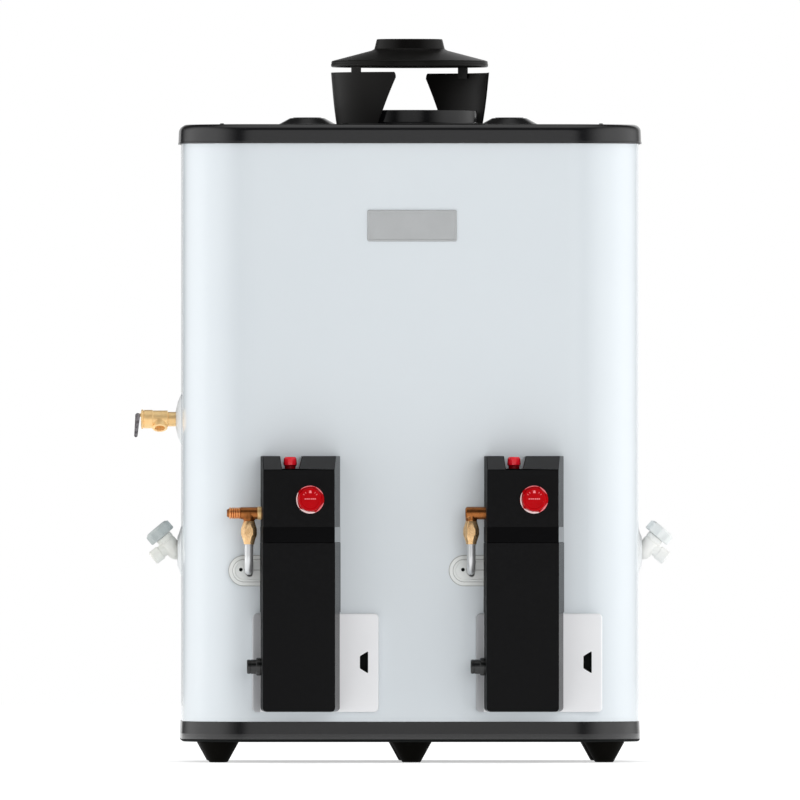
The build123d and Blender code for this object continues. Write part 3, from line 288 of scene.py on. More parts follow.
def makeFinish(name, tone, otherTone, rough, spread=0.05, metal=0.0, patch=0.2, drift=0.5, grain=0.0012,
               bump=0.05, depth=0.0002, stretch=(1.0, 1.0, 1.0), wearAndGlint=0.0, wearAndGlintTone=None, dust=0.0, coat=0.0,
               coatRough=0.1, gloss=0.5):
    material = bpy.data.materials.new(name)
    material.use_nodes = True
    tree = material.node_tree
    link = tree.links.new
    shader = tree.nodes["Principled BSDF"].inputs
    for key, value in (("Metallic", metal), ("IOR", 1.5), ("Specular IOR Level", gloss),
                       ("Coat Weight", coat), ("Coat Roughness", coatRough)):
        shader[key].default_value = value
    place = put(tree, "ShaderNodeTexCoord").outputs["Object"]

    def effect(group, values):
        return put(tree, "ShaderNodeGroup", {"node_tree": group}, {"Vector": place, **values}).outputs

    def mixed(mask, under, over):
        values = {"Factor": mask, "A": under, "B": over}
        return put(tree, "ShaderNodeMix", {"data_type": "RGBA"}, values).outputs["Result"]

    colour = effect(toneGroup, {"Tone": srgb(tone), "Other Tone": srgb(otherTone), "Patch Size": patch,
                                "Amount": drift})["Color"]
    grains = effect(grainGroup, {"Grain Size": grain, "Stretch": stretch, "Middle": rough, "Spread": spread})
    roughness = grains["Roughness"]
    # Wear and painted highlight: a lighter tone on the outward edges.
    if wearAndGlint:
        colour = mixed(effect(wearAndGlintGroup, {"Amount": wearAndGlint})["Mask"], colour, srgb(wearAndGlintTone))
    if dust:
        mask = effect(dustGroup, {"Amount": dust})["Mask"]
        colour = mixed(mask, colour, srgb(dustTone))
        roughness = mathOf(tree, "ADD", roughness, mask, clamp=True)
    link(colour, shader["Base Color"])
    link(roughness, shader["Roughness"])
    if bump:
        relief = put(tree, "ShaderNodeBump", None, {"Strength": bump, "Distance": depth,
                                                    "Height": grains["Height"]})
        link(relief.outputs["Normal"], shader["Normal"])
    return material


finishes = {
    "casing_enamel": makeFinish("casingEnamel", (218, 224, 228), (213, 220, 225), 0.20, patch=0.35,
        grain=0.0035, bump=0.04, depth=0.0003, coat=0.4, coatRough=0.06),
    "cover_black": makeFinish("coverBlack", (20, 20, 22), (16, 16, 17), 0.16, 0.06, patch=0.15,
        grain=0.0009, bump=0.04, wearAndGlint=0.3, wearAndGlintTone=(86, 86, 88), dust=0.03, gloss=0.78),
    "hood_black": makeFinish("hoodBlack", (13, 12, 11), (18, 16, 14), 0.34, 0.10, patch=0.05, grain=0.0008,
        bump=0.12, wearAndGlint=0.35, wearAndGlintTone=(60, 58, 55), dust=0.02, gloss=0.16),
    "pan_black": makeFinish("panBlack", (17, 17, 19), (13, 13, 14), 0.16, 0.06, patch=0.15, grain=0.0009,
        bump=0.04, wearAndGlint=0.3, wearAndGlintTone=(80, 80, 82), gloss=0.5),
    "foot_black": makeFinish("footBlack", (7, 6, 4), (10, 9, 7), 0.60, 0.10, patch=0.02, grain=0.0007,
        bump=0.15, gloss=0.04),
    "plate_silver": makeFinish("plateSilver", (186, 188, 189), (174, 176, 177), 0.42, 0.06, metal=0.35,
        patch=0.03, grain=0.0022, bump=0.12, depth=0.00012, stretch=(0.05, 1.0, 6.0)),
    "sheet_steel": makeFinish("galvanisedSheet", (150, 154, 158), (120, 124, 130), 0.40, 0.15, metal=0.85,
        patch=0.012, drift=0.9, grain=0.004, bump=0.05),
    "tank_steel": makeFinish("tankSteel", (66, 68, 72), (88, 74, 62), 0.50, 0.15, metal=0.35, patch=0.05,
        drift=0.8, grain=0.0015, bump=0.20),
    "glass_wool": makeFinish("glassWool", (226, 196, 120), (204, 164, 84), 0.95, 0.03, patch=0.02,
        drift=0.9, grain=0.003, bump=0.9, depth=0.002),
    "anode_metal": makeFinish("anodeMetal", (168, 170, 168), (140, 142, 140), 0.55, 0.12, metal=0.6,
        patch=0.02, grain=0.001, bump=0.15),
    "brass": makeFinish("brassBrown", (172, 106, 54), (128, 76, 36), 0.28, 0.14, metal=0.85, patch=0.008,
        drift=0.8, grain=0.0006, bump=0.08, wearAndGlint=0.5, wearAndGlintTone=(236, 190, 130)),
    "brass_pale": makeFinish("brassPale", (255, 218, 156), (242, 192, 126), 0.36, 0.12, metal=0.45,
        patch=0.01, drift=0.6, grain=0.0006, bump=0.08, wearAndGlint=0.4, wearAndGlintTone=(255, 236, 190)),
    "brass_gold": makeFinish("brassGold", (240, 202, 152), (208, 162, 108), 0.24, 0.10, metal=0.75,
        patch=0.006, drift=0.7, grain=0.0006, bump=0.06, wearAndGlint=0.4, wearAndGlintTone=(250, 214, 160)),
    "brass_orange": makeFinish("brassOrange", (252, 178, 112), (226, 130, 66), 0.24, 0.10, metal=0.65,
        patch=0.004, drift=0.6, grain=0.0006, bump=0.06, wearAndGlint=0.6, wearAndGlintTone=(252, 206, 150)),
    "tube_aluminium": makeFinish("tubeAluminium", (226, 227, 227), (204, 206, 208), 0.30, 0.10, metal=0.7,
        patch=0.03, grain=0.0012, bump=0.05, stretch=(4.0, 4.0, 0.15)),
    "burner_iron": makeFinish("burnerIron", (52, 50, 48), (84, 60, 44), 0.78, 0.12, metal=0.2, patch=0.02,
        drift=0.6, grain=0.0012, bump=0.45),
    "valve_alloy": makeFinish("valveAlloy", (150, 152, 152), (128, 130, 131), 0.48, 0.12, metal=0.8,
        patch=0.02, grain=0.001, bump=0.25),
    "control_black": makeFinish("controlBlack", (12, 12, 13), (9, 9, 10), 0.22, 0.05, patch=0.08,
        grain=0.0008, bump=0.06, wearAndGlint=0.25, wearAndGlintTone=(48, 48, 50), gloss=0.09),
    # Painted light: copies of the covers' black with their own tone and gloss, one for sides facing right,
    # one for sides facing left and one for the band's right side. They stand in for how the light falls on
    # each side.
    "side_black": makeFinish("sideBlack", (13, 13, 14), (10, 10, 11), 0.24, 0.03, patch=0.08, grain=0.0008,
        bump=0.02, gloss=0.035),
    "side_bright": makeFinish("sideBright", (14, 14, 15), (11, 11, 12), 0.05, 0.01, patch=0.08,
        grain=0.0008, bump=0.01, gloss=0.8),
    "side_matt": makeFinish("sideMatt", (20, 20, 21), (16, 16, 17), 0.60, 0.05, patch=0.08, grain=0.0008,
        bump=0.05, gloss=0.12),
    # A lighter black: painted light on the covers' sloped bevel, which faces up to the light, and the plain
    # colour of the screw heads.
    "bevel_black": makeFinish("bevelBlack", (24, 25, 27), (19, 20, 21), 0.30, 0.06, patch=0.04,
        grain=0.0008, bump=0.04, gloss=0.45),
    "gloss_black": makeFinish("glossBlack", (9, 9, 10), (12, 12, 13), 0.08, 0.02, patch=0.08, grain=0.002,
        bump=0.01, depth=0.0001, gloss=0.04),
    "dial_red": makeFinish("dialRed", (184, 3, 13), (166, 1, 9), 0.24, 0.06, patch=0.02, grain=0.001,
        bump=0.05, wearAndGlint=0.5, wearAndGlintTone=(236, 110, 112), gloss=0.06),
    "button_red": makeFinish("buttonRed", (240, 30, 48), (220, 20, 34), 0.20, 0.05, patch=0.01,
        grain=0.0009, bump=0.05, wearAndGlint=0.4, wearAndGlintTone=(238, 110, 118), gloss=0.5),
    "igniter_black": makeFinish("igniterBlack", (14, 16, 16), (20, 22, 22), 0.20, 0.05, patch=0.02,
        grain=0.0008, bump=0.10, wearAndGlint=0.4, wearAndGlintTone=(54, 56, 56), gloss=0.6),
    "door_white": makeFinish("doorWhite", (244, 244, 246), (240, 240, 242), 0.40, 0.06, patch=0.06,
        grain=0.0010, bump=0.12),
    # Painted shade for the door's end beside the tube cover.
    "door_shade": makeFinish("doorShade", (186, 187, 190), (176, 177, 180), 0.45, 0.06, patch=0.06,
        grain=0.0010, bump=0.12),
    # Grey for the painted shade in the port plate's groove and round its rim, and for the line where its
    # middle is split.
    "groove_grey": makeFinish("grooveGrey", (172, 173, 171), (156, 157, 155), 0.55, 0.06, patch=0.01,
        grain=0.0008, bump=0.10),
    "plate_white": makeFinish("plateWhite", (236, 238, 236), (230, 232, 230), 0.36, 0.06, patch=0.05,
        grain=0.0012, bump=0.06),
    "fitting_white": makeFinish("fittingWhite", (231, 231, 225), (223, 223, 217), 0.42, 0.08, patch=0.02,
        grain=0.0009, bump=0.14),
    "knob_grey": makeFinish("knobGrey", (180, 187, 186), (164, 171, 171), 0.40, 0.08, patch=0.01,
        grain=0.0009, bump=0.14),
    # Painted light: paler copies of the fitting and knob colours for the right drain cock, which stands in
    # stronger light.
    "fitting_pale": makeFinish("fittingPale", (240, 240, 237), (234, 234, 231), 0.42, 0.08, patch=0.02,
        grain=0.0009, bump=0.14),
    "knob_pale": makeFinish("knobPale", (228, 231, 230), (218, 222, 221), 0.40, 0.08, patch=0.01,
        grain=0.0009, bump=0.14),
    "lever_steel": makeFinish("leverSteel", (150, 146, 150), (62, 58, 62), 0.30, 0.16, metal=0.9,
        patch=0.004, drift=1.0, grain=0.0008, bump=0.15, wearAndGlint=0.4, wearAndGlintTone=(190, 190, 190)),
    # Pale white and pink for the dial: painted highlight in the rim arcs, and the colour of the printed
    # marks.
    "mark_white": makeFinish("markWhite", (250, 236, 234), (244, 222, 222), 0.45, 0.05, patch=0.01,
        grain=0.0006, bump=0.05),
    "mark_pink": makeFinish("markPink", (244, 140, 146), (236, 112, 120), 0.45, 0.05, patch=0.01,
        grain=0.0006, bump=0.05),
    # Painted shade: a black finish put where holes, slots and undersides are in shade.
    "pocket_black": makeFinish("pocketBlack", (16, 18, 18), (12, 13, 13), 0.70, 0.05, patch=0.01,
        grain=0.0008, bump=0.1, gloss=0.1),
    "rosette_white": makeFinish("rosetteWhite", (212, 215, 216), (204, 207, 208), 0.38, 0.06, patch=0.03,
        grain=0.0010, bump=0.08),
    # Painted shade: a dark red copy of the button's red for its shaded foot.
    "button_shade": makeFinish("buttonShade", (120, 4, 14), (96, 2, 10), 0.35, 0.05, patch=0.01,
        grain=0.0009, bump=0.05, gloss=0.2),
    "screw_steel": makeFinish("screwSteel", (170, 170, 168), (140, 140, 140), 0.35, 0.12, metal=1.0,
        patch=0.004, grain=0.0004, bump=0.08),
}

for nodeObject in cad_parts.values():
    for materialSlot in nodeObject.material_slots:
        slotName = materialSlot.material.name.split(".")[0]
        if slotName in finishes:
            materialSlot.material = finishes[slotName]
        else:
            print("no finish for", nodeObject.name, slotName)

print("stage: mesh tools")


upright = Matrix.Rotation(math.radians(90), 4, "X")  # stands a flat outline up, facing the front


def placeAt(origin, axis=(0.0, 0.0, 1.0), spin=0.0):
    turn = Vector(axis).to_track_quat("Z", "Y").to_matrix().to_4x4()
    return Matrix.Translation(Vector(origin)) @ turn @ Matrix.Rotation(spin, 4, "Z")


def softCorners(points, closed=False, steps=5):
    # A point is (a, b) or (a, b, radius); corners with a radius become arcs.
    result = []
    count = len(points)
    for index, point in enumerate(points):
        here = Vector(point[:2])
        radius = point[2] if len(point) > 2 else 0.0
        if not radius or (not closed and index in (0, count - 1)):
            result.append(here)
            continue
        before = (Vector(points[index - 1][:2]) - here).normalized()
        after = (Vector(points[(index + 1) % count][:2]) - here).normalized()
        half = before.angle(after) / 2
        centre = here + (before + after).normalized() * (radius / math.sin(half))
        start = here + before * (radius / math.tan(half)) - centre
        end = here + after * (radius / math.tan(half)) - centre
        first = math.atan2(start.y, start.x)
        sweep = (math.atan2(end.y, end.x) - first + math.pi) % math.tau - math.pi
        for step in range(steps + 1):
            angle = first + sweep * step / steps
            result.append(centre + Vector((math.cos(angle), math.sin(angle))) * radius)
    return result


def rectLoop(width, depth, corner, z, steps=14, centre=(0.0, 0.0)):
    loop = []
    for quarter, (signX, signY) in enumerate(((1, 1), (-1, 1), (-1, -1), (1, -1))):
        for step in range(steps + 1):
            angle = math.radians(90.0 * (quarter + step / steps))
            x = centre[0] + signX * (width / 2 - corner) + corner * math.cos(angle)
            y = centre[1] + signY * (depth / 2 - corner) + corner * math.sin(angle)
            loop.append(Vector((x, y, z)))
    return loop


def skin(bm, loops, capStart=False, capEnd=False, ring=False):
    rows = [[bm.verts.new(point) for point in loop] for loop in loops]
    pairs = list(zip(rows, rows[1:]))
    if ring:
        pairs.append((rows[-1], rows[0]))
    for lower, upper in pairs:
        for index in range(len(lower)):
            following = (index + 1) % len(lower)
            bm.faces.new((lower[index], lower[following], upper[following], upper[index]))
    if capStart:
        bm.faces.new(list(reversed(rows[0])))
    if capEnd:
        bm.faces.new(rows[-1])


def turned(bm, profile, place=Matrix(), steps=48, ring=False, wave=None):
    # A profile point is (radius, height); radius 0 closes a pole.
    loops = []
    for radius, height in profile:
        loop = []
        for step in range(steps):
            angle = math.tau * step / steps
            reach = wave(radius, angle, height) if wave else radius
            loop.append(place @ Vector((reach * math.cos(angle), reach * math.sin(angle), height)))
        loops.append(loop)
    skin(bm, loops, ring=ring)


def disc(radius, low, high):
    # The profile of a plain cylinder.
    return [(0, low), (radius, low), (radius, high), (0, high)]


def prism(bm, outline, low, high, place=Matrix()):
    loops = [[place @ Vector((a, b, height)) for a, b in outline] for height in (low, high)]
    skin(bm, loops, True, True)


def blockMesh(bm, low, high):
    outline = [(low[0], low[1]), (high[0], low[1]), (high[0], high[1]), (low[0], high[1])]
    prism(bm, outline, low[2], high[2])


def asObject(name, bm, finish=None):
    bmesh.ops.remove_doubles(bm, verts=bm.verts, dist=joinWithin)
    bmesh.ops.dissolve_degenerate(bm, edges=bm.edges, dist=shortestEdge)
    bmesh.ops.recalc_face_normals(bm, faces=bm.faces)
    bmesh.ops.scale(bm, verts=bm.verts, vec=(millimetre,) * 3)
    mesh = bpy.data.meshes.new(name)
    bm.to_mesh(mesh)
    bm.free()
    if finish:
        mesh.materials.append(finishes[finish])
    obj = bpy.data.objects.new(name, mesh)
    scene.collection.objects.link(obj)
    return obj


def built(name, finish, build, *facts, **more):
    # A new object from one of the builders above.
    bm = bmesh.new()
    build(bm, *facts, **more)
    return asObject(name, bm, finish)


def discard(obj):
    mesh = obj.data
    bpy.data.objects.remove(obj)
    bpy.data.meshes.remove(mesh)


def settle(obj):
    # Applies the modifiers and leaves a plain mesh.
    view = bpy.context.evaluated_depsgraph_get()
    made = bpy.data.meshes.new_from_object(obj.evaluated_get(view), preserve_all_data_layers=True,
                                           depsgraph=view)
    old = obj.data
    obj.modifiers.clear()
    obj.data = made
    made.name = obj.name
    if old.users == 0:
        bpy.data.meshes.remove(old)
    return obj


def carve(obj, tool, operation="DIFFERENCE"):
    change = obj.modifiers.new("carve", "BOOLEAN")
    change.operation = operation
    change.object = tool
    change.solver = "EXACT"
    settle(obj)
    discard(tool)
    return obj


def smoothOff(obj, edge=0.0, rounds=2, angle=smoothBelow):
    # Rounds the sharp edges, then shades smooth with flat faces kept flat.
    if edge:
        change = obj.modifiers.new("edge", "BEVEL")
        change.width = edge * millimetre
        change.segments = rounds
        change.limit_method = "ANGLE"
        change.angle_limit = angle
        change.use_clamp_overlap = True
        change.miter_outer = "MITER_ARC"
        settle(obj)
    obj.data.shade_smooth()
    obj.data.set_sharp_from_angle(angle=angle)
    change = obj.modifiers.new("weighted", "WEIGHTED_NORMAL")
    change.keep_sharp = True
    change.weight = 60
    settle(obj)
    return obj


def swept(bm, path, radii, steps=36):
    # A round bar along a path, with its own radius at each point.
    loops = []
    side = None
    for index, point in enumerate(path):
        ahead = (path[min(index + 1, len(path) - 1)] - path[max(index - 1, 0)]).normalized()
        if side is None:
            side = ahead.orthogonal().normalized()
        else:
            side = (side - ahead * side.dot(ahead)).normalized()
        other = ahead.cross(side)
        loop = []
        for step in range(steps):
            angle = math.tau * step / steps
            loop.append(point + (side * math.cos(angle) + other * math.sin(angle)) * radii[index])
        loops.append(loop)
    skin(bm, loops, True, True)


def paintFaces(obj, finish, direction, least=0.9):
    # A second finish on the faces that look one way.
    obj.data.materials.append(finishes[finish])
    for face in obj.data.polygons:
        if face.normal.dot(Vector(direction)) > least:
            face.material_index = len(obj.data.materials) - 1


def seat(obj, body, slotName, *nodes):
    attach(obj, body)
    if nodes:
        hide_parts(*nodes)
    return obj


print("stage: node trees for what repeats")

copyInputs = [("Shape", "Object", None), ("Place", "Vector", None), ("Turn", "Rotation", None),
              ("Finish", "Material", None)]


def makeCopyTree(name, inputs, spread):
    # Copies of a shape on the points that spread makes.
    tree, ins = newGroup("GeometryNodeTree", name, copyInputs + inputs, [("Geometry", "Geometry")])
    shape = put(tree, "GeometryNodeObjectInfo", None, {"Object": ins["Shape"]}).outputs["Geometry"]
    copies = put(tree, "GeometryNodeInstanceOnPoints", None, {"Instance": shape, **spread(tree, ins)})
    real = put(tree, "GeometryNodeRealizeInstances", None, {0: copies.outputs[0]})
    moved = put(tree, "GeometryNodeTransform", None,
                {"Geometry": real.outputs[0], "Translation": ins["Place"], "Rotation": ins["Turn"]})
    painted = put(tree, "GeometryNodeSetMaterial", None,
                  {"Geometry": moved.outputs[0], "Material": ins["Finish"]})
    put(tree, "NodeGroupOutput", None, {0: painted.outputs[0]})
    return tree


def onGrid(tree, ins):
    # A flat grid, with a counted number of rows each way.
    grid = put(tree, "GeometryNodeMeshGrid", None, {"Vertices X": ins["Count X"],
                                                    "Vertices Y": ins["Count Y"], "Size X": ins["Size X"],
                                                    "Size Y": ins["Size Y"]})
    return {"Points": grid.outputs["Mesh"]}


def onRing(tree, ins):
    # A ring, each copy turned to face outwards.
    ring = put(tree, "GeometryNodeMeshCircle", {"fill_type": "NONE"},
               {"Vertices": ins["Count"], "Radius": ins["Radius"]})
    place = put(tree, "GeometryNodeInputPosition").outputs[0]
    facing = put(tree, "FunctionNodeAlignRotationToVector", {"axis": "X", "pivot_axis": "Z"},
                 {"Vector": place})
    return {"Points": ring.outputs["Mesh"], "Rotation": facing.outputs[0]}


def inRow(tree, ins):
    # A row along local Z.
    step = put(tree, "ShaderNodeCombineXYZ", None, {"Z": ins["Step"]}).outputs[0]
    row = put(tree, "GeometryNodeMeshLine", {"mode": "OFFSET"}, {"Count": ins["Count"], "Offset": step})
    return {"Points": row.outputs["Mesh"]}


gridTree = makeCopyTree("copiesOnGrid", [("Count X", "Int", 3), ("Count Y", "Int", 2),
                                         ("Size X", "Float", 0.5), ("Size Y", "Float", 0.2)], onGrid)
ringTree = makeCopyTree("copiesOnRing", [("Count", "Int", 12), ("Radius", "Float", 0.02)], onRing)
rowTree = makeCopyTree("copiesInRow", [("Count", "Int", 6), ("Step", "Float", 0.001)], inRow)


def repeated(name, tree, shape, finish, place=Matrix(), **values):
    # One mesh from a tree; place is in millimetres, lengths among the values too.
    obj = bpy.data.objects.new(name, bpy.data.meshes.new(name))
    scene.collection.objects.link(obj)
    modifier = obj.modifiers.new("copies", "NODES")
    modifier.node_group = tree
    given = {"Shape": shape, "Place": tuple(place.translation * millimetre),
             "Turn": tuple(place.to_quaternion().to_euler()), "Finish": finishes[finish]}
    labels = {"countX": "Count X", "countY": "Count Y", "sizeX": "Size X", "sizeY": "Size Y",
              "count": "Count", "radius": "Radius", "step": "Step"}
    for key, value in values.items():
        given[labels[key]] = value * millimetre if isinstance(value, float) else value
    for item in tree.interface.items_tree:
        if item.in_out == "INPUT" and item.name in given:
            modifier[item.identifier] = given[item.name]
    settle(obj)
    obj.data.shade_smooth()
    obj.data.set_sharp_from_angle(angle=smoothBelow)
    discard(shape)
    return obj


print("stage: casing, cover, pan and feet")

casing = {
    "corner": 110.0, "wall": 1.2, "cornerSteps": 26,
    "accessLow": 92.0, "accessHigh": 205.0, "accessLeft": -50.0, "accessRight": 95.0,
    "portWidth": 100.0, "portHeight": 28.0, "portOffset": -40.0,
    "shankRadius": 13.3, "shankLevel": 388.5,
    "drainRadius": 16.0, "drainLevel": 311.5, "reliefRadius": 11.1, "reliefLevel": 507.0,
    "shankX": 12.9, "seamWidth": 22.0, "seamRise": 0.9,
    "seamScrews": 9, "seamEnd": 25.0,
}
unitCentres = {name: middleOf("control_cover_" + name).x for name in hands}


def makeCasing():
    low, high = boxOf("outer_casing")
    width, depth = high.x - low.x, high.y - low.y
    wall = casing["wall"]
    steps = casing["cornerSteps"]
    loops = []
    for inset, z in ((0, low.z), (0, high.z), (wall, high.z), (wall, low.z)):
        loops.append(rectLoop(width - 2 * inset, depth - 2 * inset, casing["corner"] - inset, z, steps))
    shell = built("outer_casing_sheet", "casing_enamel", skin, loops, ring=True)
    bm = bmesh.new()
    for x in unitCentres.values():
        left, right = x + casing["accessLeft"], x + casing["accessRight"]
        blockMesh(bm, (left, low.y - 5, casing["accessLow"]), (right, low.y + 5, casing["accessHigh"]))
        portZ = middleOf("port_plate_left").z
        slot = rectLoop(casing["portWidth"], casing["portHeight"], casing["portHeight"] / 2 - 0.01, 0, 10,
                        (x + casing["portOffset"], portZ))
        prism(bm, [(point.x, point.y) for point in slot], -low.y - 5, -low.y + 5, upright)
        shank = placeAt((x + casing["shankX"], low.y - 5, casing["shankLevel"]), (0, 1, 0))
        turned(bm, disc(casing["shankRadius"], 0, 10), shank, 40)
    for hand in hands.values():
        radius = casing["drainRadius"]
        hole = placeAt((hand * (high.x - 5), 0, casing["drainLevel"]), (hand, 0, 0))
        turned(bm, disc(radius, 0, 10), hole, 40)
    radius = casing["reliefRadius"]
    hole = placeAt((low.x + 5, 0, casing["reliefLevel"]), (-1, 0, 0))
    turned(bm, disc(radius, 0, 10), hole, 40)
    carve(shell, asObject("casingCutter", bm))
    seat(smoothOff(shell), "root", "casing_enamel", "outer_casing")


def makeCasingSeam():
    # The lap seam at the back, with its row of screws.
    high = boxOf("outer_casing")[1]
    bottom, top = boxOf("bottom_pan")[1].z + 0.5, boxOf("top_cover")[0].z - 0.5
    half = casing["seamWidth"] / 2
    outline = softCorners([(-half, high.y - 0.2), (half, high.y - 0.2), (half, high.y + casing["seamRise"],
                                                                         0.5),
                           (-half, high.y + casing["seamRise"], 0.5)], True, 3)
    lap = built("casing_seam", "casing_enamel", prism, outline, bottom, top)
    seat(smoothOff(lap), "root", "casing_enamel")
    head = makeScrewHead(*screwHeads["seam"])
    span = top - bottom - 2 * casing["seamEnd"]
    base = Matrix.Translation((0, high.y + casing["seamRise"] - 0.3, bottom + casing["seamEnd"]))
    screws = repeated("casing_seam_screws", rowTree, head, "screw_steel", base,
                      count=casing["seamScrews"], step=span / (casing["seamScrews"] - 1))
    seat(screws, "root", "sheet_steel")


def makeScrewHead(radius, rise, axis=(0, 1, 0)):
    # A domed head with a cross recess pressed into it.
    place = placeAt((0, 0, 0), axis)
    profile = softCorners([(0, rise), (radius * 0.75, rise * 0.9, radius * 0.3), (radius, rise * 0.15),
                           (radius, 0), (0, 0)], False, 3)
    head = built("screwHead", None, turned, profile, place, 18)
    arm, half = radius * 0.55, radius * 0.13
    cross = []
    for quarter in range(4):
        turn = Matrix.Rotation(math.radians(90 * quarter), 2)
        cross += [tuple(turn @ Vector(point)) for point in ((half, half), (half, arm), (-half, arm))]
    carve(head, built("recess", None, prism, cross, rise * 0.45, rise * 2, place))
    return head


screwHeads = {"seam": (3.1, 1.5), "cover": (3.4, 1.8), "ring": (3.0, 1.6)}  # radius and rise

topCover = {
    "corner": 114.5, "draft": 1.0, "edgeRound": 10.5, "wall": 2.0, "hole": 96.3, "lip": 0.8, "lipHeight": 2.6,
    "bossFoot": 46.5, "bossTop": 25.5, "bossRise": 11.5, "socketBore": 16.6, "rimBore": 16.7, "rim": 21.0,
    "rimRise": 0.9, "flatInset": 40.0, "under": 3.0, "screwX": 62.0, "screwY": 46.0,
}


def makeTopCover():
    low, high = boxOf("top_cover")
    width, depth = high.x - low.x, high.y - low.y
    topZ = boxOf("hood_ring")[0].z
    draft, edge, flatInset = topCover["draft"], topCover["edgeRound"], topCover["flatInset"]
    under, belowTop = draft + topCover["under"], topZ - topCover["wall"]
    lipTop, lipInset = low.z + topCover["lipHeight"], topCover["lip"] * 0.6

    def loopAt(inset, level):
        return rectLoop(width - 2 * inset, depth - 2 * inset, topCover["corner"] - inset, level, 22)

    # Wall section from the skirt's foot up and over, as (inset, level), and back underneath.
    section = softCorners([(0, low.z), (0, lipTop, 0.4), (lipInset, lipTop + 0.5),
                           (lipInset + draft, topZ, edge), (draft + flatInset, topZ)], False, 9)
    section += [Vector(p) for p in ((draft + flatInset, belowTop), (under + edge * 0.6, belowTop),
                                    (under, belowTop - edge * 0.7), (topCover["wall"], low.z))]
    cover = built("top_cover_skirt", "cover_black", skin, [loopAt(p.x, p.y) for p in section], ring=True)
    # The flat middle, closed inside the last loop.
    flat = [loopAt(draft + flatInset - 1, level) for level in (belowTop, topZ)]
    carve(cover, built("coverFlat", "cover_black", skin, flat, True, True), "UNION")
    bm = bmesh.new()
    sockets = [middleOf("water_socket_" + name) for name in hands]
    foot, top, rise = topCover["bossFoot"], topCover["bossTop"], topCover["bossRise"]
    for place in sockets:
        profile = softCorners([(0, topZ - 1.5), (foot + 5, topZ - 1.5), (foot + 4, topZ - 0.05),
                               (foot, topZ + 0.1, 6), (top, topZ + rise, 5), (0, topZ + rise)], False, 8)
        turned(bm, profile, Matrix.Translation((place.x, place.y, 0)), 72)
    carve(cover, asObject("coverBosses", bm, "cover_black"), "UNION")
    bm = bmesh.new()
    turned(bm, disc(topCover["hole"], topZ - 20, topZ + 20),
           Matrix(), 96)
    for place in sockets:
        bore = topCover["socketBore"]
        turned(bm, disc(bore, topZ - 20, topZ + 40),
               Matrix.Translation((place.x, place.y, 0)), 48)
    carve(cover, asObject("coverHoles", bm))
    seat(smoothOff(cover), "root", "cover_black", "top_cover")
    # Rims round the sockets, and the screws that hold the cover.
    bore, outer, bossTop = topCover["rimBore"], topCover["rim"], topZ + rise
    rimTop = bossTop + topCover["rimRise"]
    bm = bmesh.new()
    for place in sockets:
        rim = softCorners([(bore, bossTop - 1), (outer, bossTop - 1), (outer, rimTop, 0.7),
                           (bore, rimTop, 0.4)], True, 3)
        turned(bm, rim, Matrix.Translation((place.x, place.y, 0)), 48, True)
    rims = asObject("socket_rims", bm, "cover_black")
    seat(smoothOff(rims), "root", "cover_black")
    head = makeScrewHead(*screwHeads["cover"], (0, 0, 1))
    screws = repeated("cover_screws", gridTree, head, "bevel_black", Matrix.Translation((0, 0, topZ - 0.2)),
                      countX=2, countY=2, sizeX=width - 2 * topCover["screwX"],
                      sizeY=depth - 2 * topCover["screwY"])
    seat(screws, "root", "sheet_steel")


bottomPan = {"corner": 112.0, "wall": 1.7, "footRound": 4.0, "lean": 0.9, "floorInset": 60.0, "airHole": 11.0,
             "airRing": 44.0, "airCount": 8}


def makeBottomPan():
    low, high = boxOf("bottom_pan")
    width, depth = high.x - low.x, high.y - low.y
    corner, wall = bottomPan["corner"], bottomPan["wall"]
    rise = high.z - low.z
    floorInset = bottomPan["floorInset"]
    section = softCorners([(floorInset, low.z), (0, low.z, bottomPan["footRound"]),
                           (0.1, low.z + rise * 0.4, 20), (bottomPan["lean"], high.z, 0.4),
                           (wall + 0.3, high.z), (wall + 0.3, low.z + wall, 1.5), (floorInset, low.z + wall)],
                          True, 6)

    def loopAt(inset, level):
        return rectLoop(width - 2 * inset, depth - 2 * inset, corner - inset, level, 22)

    pan = built("bottom_pan_tray", "cover_black", skin, [loopAt(p.x, p.y) for p in section], ring=True)
    flat = [loopAt(floorInset - 1, level) for level in (low.z, low.z + wall)]
    carve(pan, built("panFloor", "cover_black", skin, flat, True, True), "UNION")
    bm = bmesh.new()
    for x in unitCentres.values():
        for index in range(bottomPan["airCount"]):
            angle = math.tau * index / bottomPan["airCount"]
            place = Matrix.Translation((x + bottomPan["airRing"] * math.cos(angle),
                                        bottomPan["airRing"] * math.sin(angle), 0))
            hole = bottomPan["airHole"]
            turned(bm, disc(hole, low.z - 5, low.z + 8), place, 24)
    carve(pan, asObject("panHoles", bm))
    smoothOff(pan)
    # Painted shade: the faces that look down take the black shade finish along the pan's lower edge.
    paintFaces(pan, "pocket_black", (0, 0, -1), 0.12)
    seat(pan, "root", "cover_black", "bottom_pan")


feet = {"headRadius": 29.5, "toeRadius": 13.5, "toeRound": 3.0, "countX": 3, "countY": 2}


def makeFeet():
    low, high = boxOf("feet")
    head, toe = feet["headRadius"], feet["toeRadius"]
    profile = softCorners([(0, low.z), (toe, low.z, feet["toeRound"]), (head, high.z - 1.2), (head, high.z),
                           (0, high.z)], False, 6)
    shape = built("footShape", "foot_black", turned, profile, Matrix(), 56)
    six = repeated("feet_cones", gridTree, shape, "foot_black", Matrix(), countX=feet["countX"],
                   countY=feet["countY"], sizeX=high.x - low.x - 2 * head, sizeY=high.y - low.y - 2 * head)
    seat(six, "root", "foot_black", "feet")


makeCasing()
makeCasingSeam()
makeTopCover()
makeBottomPan()
makeFeet()

print("stage: draught hood")

